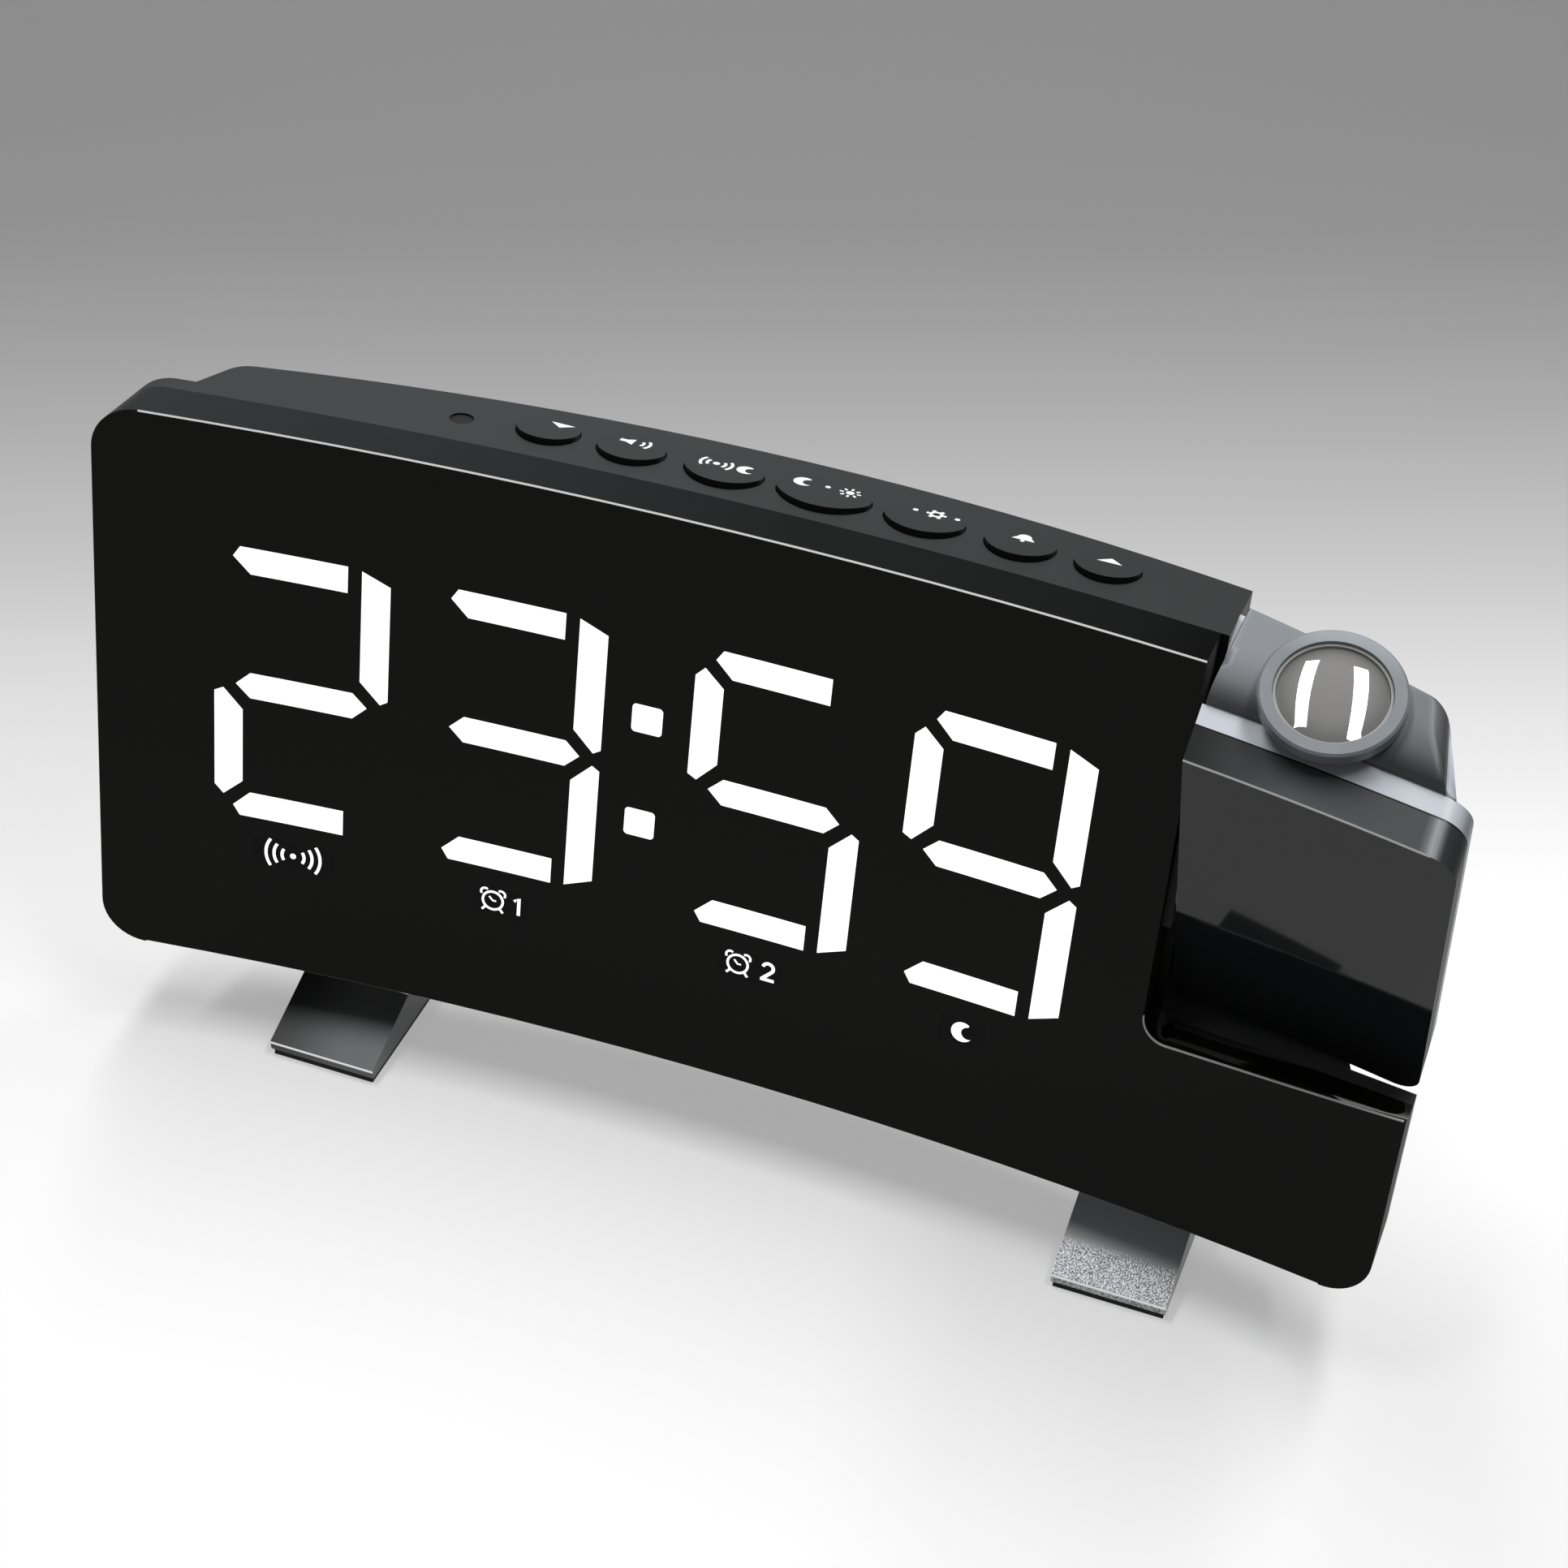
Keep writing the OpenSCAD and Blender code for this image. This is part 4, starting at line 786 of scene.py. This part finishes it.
class CLOCK_OT_housing(bpy.types.Operator):
    """Grains the matte rear cover, the battery door and the keys, with painted shade towards the
    right and on their forward faces
    """

    bl_idname = "clock.housing"
    bl_label = "Matte housing"

    def execute(self, context):
        sizes = context.scene.clock_sizes
        colours = context.scene.clock_colours
        for name, shown in MATTE_PIECES.items():
            finish = Finish(name, specular_ior_level=0.2)
            cloud = finish.noise(0.02)
            across = finish.along(LEANED, ACROSS, (0, 0, 0)).between(*MATTE_SPAN)
            tone = finish.mix(cloud, colours.matte, toned(colours.matte, MATTE_PALE))
            # Painted shade: darker towards the right of the body.
            tone = finish.vector("SCALE", tone, MATTE_PALE - across * MATTE_SHADE_FALL)
            # Faces that face forward take the gloss black's colour as a painted shade.
            front = finish.facing(-axis_of(LEANED, BACK)).between(*MATTE_FRONT_SHADE)
            finish.set(base_color=finish.mix(front, tone, colours.gloss))
            finish.set(roughness=0.42 + cloud * 0.1)
            grain_bump(finish, sizes.grain_size, sizes.grain_depth)
            dress(finish, *shown)
        return {"FINISHED"}


class CLOCK_OT_marks(bpy.types.Operator):
    """Prints generic white marks on the top keys"""

    bl_idname = "clock.marks"
    bl_label = "Key marks"

    def execute(self, context):
        ink = mottled(
            "white_ink", 0.0006, (0.86, 0.86, 0.86), (0.95, 0.95, 0.95),
            roughness=0.5, specular_ior_level=0.3)
        proud = context.scene.clock_sizes.print_proud / MM
        for name, marks in KEY_MARKS.items():
            pieces = bmesh.new()
            for draw, x, y, size in marks:
                draw(Print(pieces, on_key(name, x, y, size, proud), MARK_THICKNESS))
            add_piece(f"mark_{name[4:]}", pieces, LEANED, name, ink)
        return {"FINISHED"}


# ---------- projector ----------

# The raised part stands on the rim, and starts this far behind the hollow front. Its left side
# runs from the centre of the front's arc through one point, and its right side through two.
RIM_TOP = 90.6
RIM_BACK = 8.5
HUMP_TOP = 93.5
HUMP_LEFT = (60.3, 4.0)
HUMP_RIGHT = ((91.15, 1.0), (89.55, 9.0))
# The radius of its corner at the right rear, and the least that this may shrink to.
HUMP_CORNER = 3.2
HUMP_CORNER_LEAST = 0.8
# How far its round edges reach in: front, right, rear and left. The flat ring within them is this
# wide, and its walls reach this far down into the shell.
HUMP_EDGES = (7.0, 2.6, 0.5, 0.3)
HUMP_FLAT = 0.4
HUMP_ROOT = 0.3
# The CAD shell is cut off this far above its rim.
RIM_CUT = 0.02
# Edges of the shell above this angle in degrees show as edges.
SHELL_ANGLE = 35
# How many steps the raised part's round edges, long arcs, corner and straight sides have.
EDGE_STEPS = 10
ARC_STEPS = 24
CORNER_STEPS = 8
SIDE_STEPS = 6
# The projector's back lies this far outside the arc of the body's back.
PROJECTOR_BACK_RADIUS = REAR_RADIUS + 1.8
# The lens's middle, the inner and outer radius of the collar about it, and the collar's steps.
LENS_PLACE = (75.2, 8.3525)
COLLAR = (5.8, 7.3)
COLLAR_STEPS = 48


def meet(start, way, centre, radius):
    """The far point where a line meets a circle."""
    gap = start - centre
    half = gap.dot(way)
    return start + way * (math.sqrt(half * half - gap.dot(gap) + radius * radius) - half)


def sweep(centre, start, end, steps):
    """Points on an arc about a centre, without its end."""
    first, last = (math.atan2(*(point - centre).yx) for point in (start, end))
    radius = (start - centre).length
    turns = [first + (last - first) * i / steps for i in range(steps)]
    return [centre + Vector((math.cos(turn), math.sin(turn))) * radius for turn in turns]


def straight(start, end):
    """Points on a straight line, without its end."""
    return [start.lerp(end, i / SIDE_STEPS) for i in range(SIDE_STEPS)]


def hump_outline(front, right, rear, left):
    """The plan of the projector's raised part, set in by a distance on each side."""
    focus = Vector((0.0, -FRONT_RADIUS))
    rear_focus = Vector((0.0, BODY_DEPTH - REAR_RADIUS))
    rear_radius = PROJECTOR_BACK_RADIUS - rear
    ahead = (Vector(HUMP_LEFT) - focus).normalized()
    left_start = focus + Vector((ahead.y, -ahead.x)) * left
    side = (Vector(HUMP_RIGHT[1]) - Vector(HUMP_RIGHT[0])).normalized()
    inward = Vector((-side.y, side.x))
    right_start = Vector(HUMP_RIGHT[0]) + inward * right
    corner = max(HUMP_CORNER - max(right, rear), HUMP_CORNER_LEAST)
    heart = meet(right_start + inward * corner, side, rear_focus, rear_radius - corner)
    corners = (
        meet(left_start, ahead, focus, FRONT_RADIUS + RIM_BACK + front),
        meet(right_start, side, focus, FRONT_RADIUS + RIM_BACK + front),
        heart - inward * corner,
        rear_focus + (heart - rear_focus).normalized() * rear_radius,
        meet(left_start, ahead, rear_focus, rear_radius))
    outline = sweep(focus, corners[0], corners[1], ARC_STEPS)
    outline += straight(corners[1], corners[2])
    outline += sweep(heart, corners[2], corners[3], CORNER_STEPS)
    outline += sweep(rear_focus, corners[3], corners[4], ARC_STEPS)
    return outline + straight(corners[4], corners[0])


def stack(mesh_data, plans):
    """Walls through some plans, each with its height, on the tilted projector."""
    rows = [
        [mesh_data.verts.new((TILTED @ Vector((x, y, height))) / MM) for x, y in plan]
        for height, plan in plans]
    for low, high in zip(rows, rows[1:]):
        join(mesh_data, low, high)
    return rows


def cut_at_rim(mesh_data):
    """Cuts the shell off at its rim, and closes the cut."""
    cut = bmesh.ops.bisect_plane(
        mesh_data, geom=mesh_data.verts[:] + mesh_data.edges[:] + mesh_data.faces[:], dist=0.0005,
        plane_co=(TILTED @ Vector((0, 0, RIM_TOP + RIM_CUT))) / MM, plane_no=PROJECTOR_UP,
        clear_outer=True)
    edges = [item for item in cut["geom_cut"] if isinstance(item, bmesh.types.BMEdge)]
    bmesh.ops.triangle_fill(mesh_data, edges=edges, use_beauty=True, normal=PROJECTOR_UP)


def add_hump(mesh_data):
    """The raised part: a closed solid with round edges and a flat top."""
    plans = [(RIM_TOP - HUMP_ROOT, hump_outline(0, 0, 0, 0))]
    for step in range(EDGE_STEPS + 1):
        turn = math.radians(90 / EDGE_STEPS * step)
        inset = [edge * (1 - math.cos(turn)) for edge in HUMP_EDGES]
        height = RIM_TOP + (HUMP_TOP - RIM_TOP) * math.sin(turn)
        plans.append((height, hump_outline(*inset)))
    plans.append((HUMP_TOP, hump_outline(*(edge + HUMP_FLAT for edge in HUMP_EDGES))))
    rows = stack(mesh_data, plans)
    mesh_data.faces.new(rows[0])
    mesh_data.faces.new(rows[-1])


def add_collar(mesh_data):
    """The collar about the lens: a closed round wall as high as the raised part."""
    inner, outer = COLLAR
    root = RIM_TOP - HUMP_ROOT
    corners = ((root, outer), (HUMP_TOP, outer), (HUMP_TOP, inner), (root, inner))
    rows = stack(mesh_data, [
        (height, circle(LENS_PLACE, radius, COLLAR_STEPS)) for height, radius in corners])
    join(mesh_data, rows[3], rows[0])


def rounded_shell(finish):
    """The projector's shell, with a raised part whose front and right side are rounded."""
    mesh_data = copy_node("projector_shell")
    cut_at_rim(mesh_data)
    add_hump(mesh_data)
    add_collar(mesh_data)
    piece = add_piece(
        "projector_shell_round", mesh_data, Matrix.Scale(MM, 4), "projector", finish,
        smooth=True)
    piece.data.set_sharp_from_angle(angle=math.radians(SHELL_ANGLE))
    keep_shading(piece.data, NODES["projector_shell"].data)
    return piece


# The painted shade and light on the grey shell, as shares of its colour. Steep and left-facing
# surfaces are darkened as painted shade, and so is the raised part, at its front and at its right
# side, over spans in millimetres.
SHELL_LEVEL = (0.35, 1.0)
SHELL_RAISED = (0.05, 0.3)
STEEP_LOSS = 0.62
FRONT_SHADED_LEVEL = 0.4
FRONT_GAIN = 0.65
FRONT_SPAN = (8, 17)
RIGHT_LOSS = 0.42
RIGHT_SPAN = (80, 86)
LEFT_LOSS = 0.9
LEFT_FACES = (0.3, 0.7)
# What a level rim gains, as painted light.
RIM_GAIN = 1.8
CLOUD_GAIN = 0.08


def painted_shell_shade(shell, cloud):
    """How much painted light and shade, with a little random tone, make each part of the shell
    lighter or darker than its colour.
    """
    level = shell.facing(PROJECTOR_UP, "Normal").between(*SHELL_LEVEL)
    raised = shell.along(TILTED, UP, (0, 0, RIM_TOP)).between(*SHELL_RAISED)
    front = FRONT_SHADED_LEVEL + shell.behind_front(TILTED).between(*FRONT_SPAN) * FRONT_GAIN
    right = shell.along(TILTED, ACROSS, (0, 0, 0)).between(*RIGHT_SPAN)
    hump = (1 - (1 - level) * STEEP_LOSS) * front * (1 - right * RIGHT_LOSS)
    lit = 1 - shell.facing((-1, 0, 0)).between(*LEFT_FACES) * LEFT_LOSS
    return (raised * hump + (1 - raised) * (1 + level * RIM_GAIN) + cloud * CLOUD_GAIN) * lit


# Over which millimetres behind the lens's middle the focus ring turns paler as a painted highlight,
# and by how much.
RING_HIGHLIGHT_SPAN = (3, 10)
RING_HIGHLIGHT = 0.75


class CLOCK_OT_projector(bpy.types.Operator):
    """Gives the projector's shell and focus ring their satin grey, with painted shade on the shell
    and a painted highlight on the ring
    """

    bl_idname = "clock.projector"
    bl_label = "Projector"

    def execute(self, context):
        colours = context.scene.clock_colours
        shell = Finish("satin_grey_painted_shade", specular_ior_level=0.5)
        cloud = shell.noise(0.015)
        # The shell's colour carries painted shade and light.
        shell.set(base_color=shell.vector("SCALE", colours.shell, painted_shell_shade(shell, cloud)))
        shell.set(roughness=0.36 + cloud * 0.08)
        grain_bump(shell, 0.0002, 0.000006)
        dress(shell, "projector_shell")
        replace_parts(rounded_shell(shell), "projector_shell")
        ring = Finish("satin_ring_painted_highlight", specular_ior_level=0.5)
        cloud = ring.noise(0.004)
        rear = ring.along(TILTED, BACK, (0, LENS_PLACE[1], 0)).between(*RING_HIGHLIGHT_SPAN)
        grey = ring.mix(cloud, (0.165, 0.18, 0.195), (0.18, 0.195, 0.21))
        # The ring is paler towards its back as a painted highlight.
        ring.set(base_color=ring.vector("SCALE", grey, 1 + rear * RING_HIGHLIGHT + cloud * 0.1))
        ring.set(roughness=0.34 + cloud * 0.06)
        grain_bump(ring, 0.0002, 0.000004)
        dress(ring, "focus_ring")
        return {"FINISHED"}


# The glass is paler within the second distance from its middle, in metres, than beyond the first.
GLASS_SPAN = (0.0078, 0.004)


class CLOCK_OT_lens(bpy.types.Operator):
    """Gives the lenses their coated glass, and the lens cell a grey lightened as painted light"""

    bl_idname = "clock.lens"
    bl_label = "Lens"

    def execute(self, context):
        glass = Finish("lens_glass", ior=1.9, specular_ior_level=1.0, roughness=0.02)
        middle = TILTED @ Vector((*LENS_PLACE, HUMP_TOP))
        heart = glass.vector("DISTANCE", glass.place(), middle, "Value").between(*GLASS_SPAN)
        glass.set(base_color=glass.mix(heart, (0.13, 0.13, 0.127), (0.25, 0.248, 0.238)))
        dress(glass, "lens", "condenser_lens")
        # Painted light: the cell is grey rather than black, so that its shaded walls look lit.
        cell = mottled(
            "lens_cell_painted_light", 0.002, (0.28, 0.28, 0.27), (0.32, 0.32, 0.31),
            specular_ior_level=0.4, roughness=0.4)
        dress(cell, "lens_cell")
        return {"FINISHED"}


# ---------- feet ----------

# Places on the feet in millimetres of the frame. The left foot lies left of the middle, and its
# satin is darkened as painted shade, less so towards its right over a span of X. The right foot is
# bead-blasted in front, and turns satin over a span of Y.
LEFT_FOOT = (2, -2)
LEFT_SPAN = (-69, -57)
SATIN_SPAN = (-10.5, -8.6)
SATIN_TONE = 1.08
# The painted highlight on the upper edge of a foot's tip: the way that it faces, how squarely, and
# its heights.
TIP_WAY = (0, -0.9987, 0.05)
TIP_FACES = (0.95, 0.975)
TIP_SPAN = (2.2, 2.45)
TIP_HIGHLIGHT_COLOUR = (0.95, 0.95, 0.95)
# The beads' size in metres, the span of noise over which a bead turns pale, the tone between
# beads, and their height in metres.
BEAD_SIZE = 0.00024
BEAD_SPAN = (0.38, 0.62)
BEAD_TONE = 0.3
BEAD_DEPTH = 0.00004
FOOT_ROUNDING = 0.45


def foot_metal(colour):
    """The feet's finish: bead-blasted at the right foot's tip, satin elsewhere, with painted shade
    on the left foot and a painted highlight along the tips' upper edges.
    """
    metal = Finish("bead_blasted_painted_light")
    beads = metal.noise(BEAD_SIZE, 1.0)
    blasted = metal.mix(beads.between(*BEAD_SPAN), toned(colour, BEAD_TONE), colour)
    across = metal.frame_mm(ACROSS)
    left = across.between(*LEFT_FOOT)
    satin = metal.frame_mm(BACK).between(*SATIN_SPAN).math("MAXIMUM", left)
    # The left foot's tone falls far below the satin's, a painted shade.
    tone = SATIN_TONE - left * (1.0 - across.between(*LEFT_SPAN) * 0.2)
    height = metal.frame_mm(UP).between(*TIP_SPAN)
    # A near-white band along the tip's upper edge, a painted highlight.
    tip = metal.facing(TIP_WAY).between(*TIP_FACES) * height
    surface = metal.mix(satin, blasted, metal.vector("SCALE", colour, tone))
    metal.set(base_color=metal.mix(tip, surface, TIP_HIGHLIGHT_COLOUR))
    metal.set(metallic=1 - satin * (0.9 - left * 0.2) * (1 - tip))
    metal.set(roughness=0.30 + beads * 0.12 + satin * 0.05)
    metal.bump(beads * (1 - satin * 0.8), BEAD_DEPTH)
    return metal


class CLOCK_OT_feet(bpy.types.Operator):
    """Rounds the feet and gives them their metal, with painted shade and highlights, and the pads
    their rubber
    """

    bl_idname = "clock.feet"
    bl_label = "Feet and pads"

    def execute(self, context):
        metal = foot_metal(context.scene.clock_colours.metal)
        for name in ("left_foot", "right_foot"):
            dress(metal, name)
            soften(name, "clock_body", FOOT_ROUNDING, metal)
        rubber = mottled(
            "pad_rubber", 0.003, (0.012, 0.012, 0.012), (0.022, 0.022, 0.022),
            specular_ior_level=0.3, roughness=0.7)
        grain_bump(rubber, 0.0003, 0.00001)
        dress(rubber, "left_pad", "right_pad")
        return {"FINISHED"}


# ---------- fittings ----------

# Each fitting's dark and pale colour, the size of its patches in millimetres, its roughness, its
# metallic share and its nodes.
FITTINGS = {
    "plated_steel": ((0.42, 0.42, 0.43), (0.6, 0.6, 0.61), 0.6, 0.25, 1.0, (
        "cover_screws", "foot_screws", "projector_screws", "pivot_shaft", "retaining_ring",
        "spring_washer", "usb_socket", "coin_cell", "cell_clip")),
    "spring_brass": ((0.62, 0.45, 0.2), (0.78, 0.6, 0.32), 0.8, 0.28, 1.0, (
        "battery_clips",)),
    "white_mould": ((0.7, 0.7, 0.68), (0.8, 0.8, 0.78), 3.0, 0.45, 0.0, (
        "digit_reflector", "hinge_washer")),
    "solder_mask": ((0.01, 0.09, 0.04), (0.02, 0.14, 0.06), 1.2, 0.3, 0.0, (
        "display_board", "main_board", "key_board", "projector_board")),
    "chip_epoxy": ((0.015, 0.015, 0.016), (0.03, 0.03, 0.03), 0.5, 0.5, 0.0, (
        "board_chips", "tact_switches", "light_sensor")),
    "clear_resin": ((0.75, 0.68, 0.35), (0.85, 0.8, 0.5), 0.7, 0.15, 0.0, (
        "display_leds", "projector_led")),
    "red_insulation": ((0.3, 0.012, 0.01), (0.42, 0.02, 0.016), 1.0, 0.4, 0.0, (
        "wire_lead", "projector_wires")),
    "coated_frame": ((0.05, 0.05, 0.052), (0.08, 0.08, 0.085), 1.5, 0.4, 0.5, (
        "speaker",)),
    "paper_cone": ((0.012, 0.012, 0.012), (0.03, 0.03, 0.03), 0.4, 0.8, 0.0, (
        "speaker_cone",)),
    "socket_black": ((0.012, 0.012, 0.012), (0.022, 0.022, 0.022), 0.8, 0.35, 0.0, (
        "power_inlet", "projector_tunnel")),
    "crystal_glass": ((0.03, 0.045, 0.06), (0.05, 0.07, 0.09), 2.0, 0.08, 0.0, (
        "projector_lcd",)),
}


class CLOCK_OT_fittings(bpy.types.Operator):
    """Gives every screw, spring, socket, wire and board its own finish"""

    bl_idname = "clock.fittings"
    bl_label = "Fittings and inner parts"

    def execute(self, context):
        for name, (dark, pale, size, rough, metallic, shown) in FITTINGS.items():
            finish = Finish(name, metallic=metallic)
            cloud = finish.noise(size * MM)
            finish.set(base_color=finish.mix(cloud, dark, pale))
            finish.set(roughness=rough + cloud * 0.1)
            dress(finish, *shown)
        return {"FINISHED"}


# ---------- studio ----------

# The soft lamps: their size and height in metres, their power, and each one's place and turn.
STRIP_SIZE = (0.115, 0.80)
STRIP_POWER = 3.6
STRIP_PLACES = {
    "left_strip": ((-0.211, 0.110, 0.75), 3.6),
    "right_strip": ((0.222, 0.110, 0.75), 11.5)}
WORLD_LEVEL = 0.15

FLOOR_REACH = 3.0
# The way that the floor turns darker, and over how many metres.
FLOOR_FADE = (-0.42, 0.907, 0)
FLOOR_SPAN = 0.4
# How far along that span, and the share of the near colour there.
FLOOR_STOPS = (
    (0.08, 1.0), (0.128, 0.956), (0.263, 0.723), (0.355, 0.558), (0.423, 0.474), (0.495, 0.397),
    (0.57, 0.337), (0.645, 0.296), (0.68, 0.283), (0.79, 0.275))
# The share of the floor's colour that lights the clock from below.
FLOOR_BOUNCE = 0.25
# The share of the floor's seen brightness that the clock's shadow doesn't reach.
FLOOR_GLOW = 0.36

# The camera's lens in millimetres, its place in metres, and its three turns in degrees: round the
# clock, down from level, and about its own line of sight.
CAMERA_LENS = 77.08
CAMERA_PLACE = (0.112587, -0.341387, 0.344499)
CAMERA_ROUND = 17.72
CAMERA_DOWN = 38.08
CAMERA_ROLL = 3.80


def rotation(degrees, axis, size=3):
    """A rotation matrix."""
    return Matrix.Rotation(math.radians(degrees), size, axis)


def add_strip(name, place, turn):
    """A long soft lamp that hangs level above the clock, turned by some degrees."""
    lamp = bpy.data.lights.new(name, "AREA")
    lamp.shape = "RECTANGLE"
    lamp.size, lamp.size_y = STRIP_SIZE
    lamp.energy = STRIP_POWER
    holder = bpy.data.objects.new(name, lamp)
    holder.matrix_world = Matrix.Translation(place) @ rotation(turn, "Z", 4)
    bpy.context.scene.collection.objects.link(holder)


def add_floor(near):
    """A floor that turns from pale in front of the clock to grey far behind it."""
    mesh_data = bmesh.new()
    far = FLOOR_REACH / MM
    corners = [(-1, -1), (1, -1), (1, 1), (-1, 1)]
    mesh_data.faces.new([mesh_data.verts.new((x * far, y * far, 0)) for x, y in corners])
    finish = Finish("studio_floor", roughness=0.9, specular_ior_level=0.0)
    distance = finish.vector("DOT_PRODUCT", finish.place(), FLOOR_FADE, "Value")
    stops = [(place, toned(near, level)) for place, level in FLOOR_STOPS]
    shade = finish.ramp(distance * (1 / FLOOR_SPAN), stops)
    seen = finish.light_path("Is Camera Ray").math("MAXIMUM", finish.light_path("Is Glossy Ray"))
    lit = FLOOR_BOUNCE + seen * (1 - FLOOR_GLOW - FLOOR_BOUNCE)
    finish.set(base_color=finish.vector("SCALE", shade, lit))
    finish.set(emission_color=finish.vector("SCALE", shade, seen), emission_strength=FLOOR_GLOW)
    floor = add_piece("floor", mesh_data, Matrix.Scale(MM, 4), None, finish)


def add_world(scene):
    """A plain dim light from all sides."""
    world = bpy.data.worlds.new("studio")
    world.use_nodes = True
    background = world.node_tree.nodes["Background"]
    background.inputs["Color"].default_value = (1, 1, 1, 1)
    background.inputs["Strength"].default_value = WORLD_LEVEL
    scene.world = world


def add_camera(scene):
    """A long lens, above and to the right of the clock."""
    camera = bpy.data.cameras.new("camera")
    camera.lens = CAMERA_LENS
    camera.clip_start = 0.01
    holder = bpy.data.objects.new("camera", camera)
    look = rotation(CAMERA_ROUND, "Z") @ rotation(90 - CAMERA_DOWN, "X")
    turn = look @ rotation(CAMERA_ROLL, "Z")
    holder.matrix_world = Matrix.Translation(CAMERA_PLACE) @ turn.to_4x4()
    scene.collection.objects.link(holder)
    scene.camera = holder


class CLOCK_OT_studio(bpy.types.Operator):
    """Adds the pale floor, the lamps and the camera"""

    bl_idname = "clock.studio"
    bl_label = "Studio"

    def execute(self, context):
        scene = context.scene
        scene.view_settings.view_transform = "Standard"
        add_floor(scene.clock_colours.floor)
        add_world(scene)
        for name, (place, turn) in STRIP_PLACES.items():
            add_strip(name, place, turn)
        add_camera(scene)
        return {"FINISHED"}


# ---------- add-on ----------

OPERATORS = (
    CLOCK_OT_front, CLOCK_OT_digits, CLOCK_OT_housing, CLOCK_OT_marks, CLOCK_OT_projector,
    CLOCK_OT_lens, CLOCK_OT_feet, CLOCK_OT_fittings, CLOCK_OT_studio)


class CLOCK_PT_panel(bpy.types.Panel):
    """Lists the clock's settings and operators"""

    bl_idname = "CLOCK_PT_panel"
    bl_label = "Projection alarm clock"
    bl_space_type = "VIEW_3D"
    bl_region_type = "UI"
    bl_category = "Clock"

    def draw(self, context):
        layout = self.layout
        for group in (context.scene.clock_sizes, context.scene.clock_colours):
            for name in group.bl_rna.properties.keys():
                if name not in ("rna_type", "name"):
                    layout.prop(group, name)
        for operator in OPERATORS:
            layout.operator(operator.bl_idname)


CLASSES = (ClockSizes, ClockColours) + OPERATORS + (CLOCK_PT_panel,)


def register():
    """Adds the classes, and gives each scene its sizes and colours."""
    for item in CLASSES:
        bpy.utils.register_class(item)
    bpy.types.Scene.clock_sizes = PointerProperty(type=ClockSizes)
    bpy.types.Scene.clock_colours = PointerProperty(type=ClockColours)


def unregister():
    """Takes away what register added."""
    del bpy.types.Scene.clock_colours
    del bpy.types.Scene.clock_sizes
    for item in reversed(CLASSES):
        bpy.utils.unregister_class(item)


def main():
    """Builds the whole scene."""
    register()
    for operator in OPERATORS:
        group, name = operator.bl_idname.split(".")
        getattr(getattr(bpy.ops, group), name)()


if __name__ == "__main__":
    main()
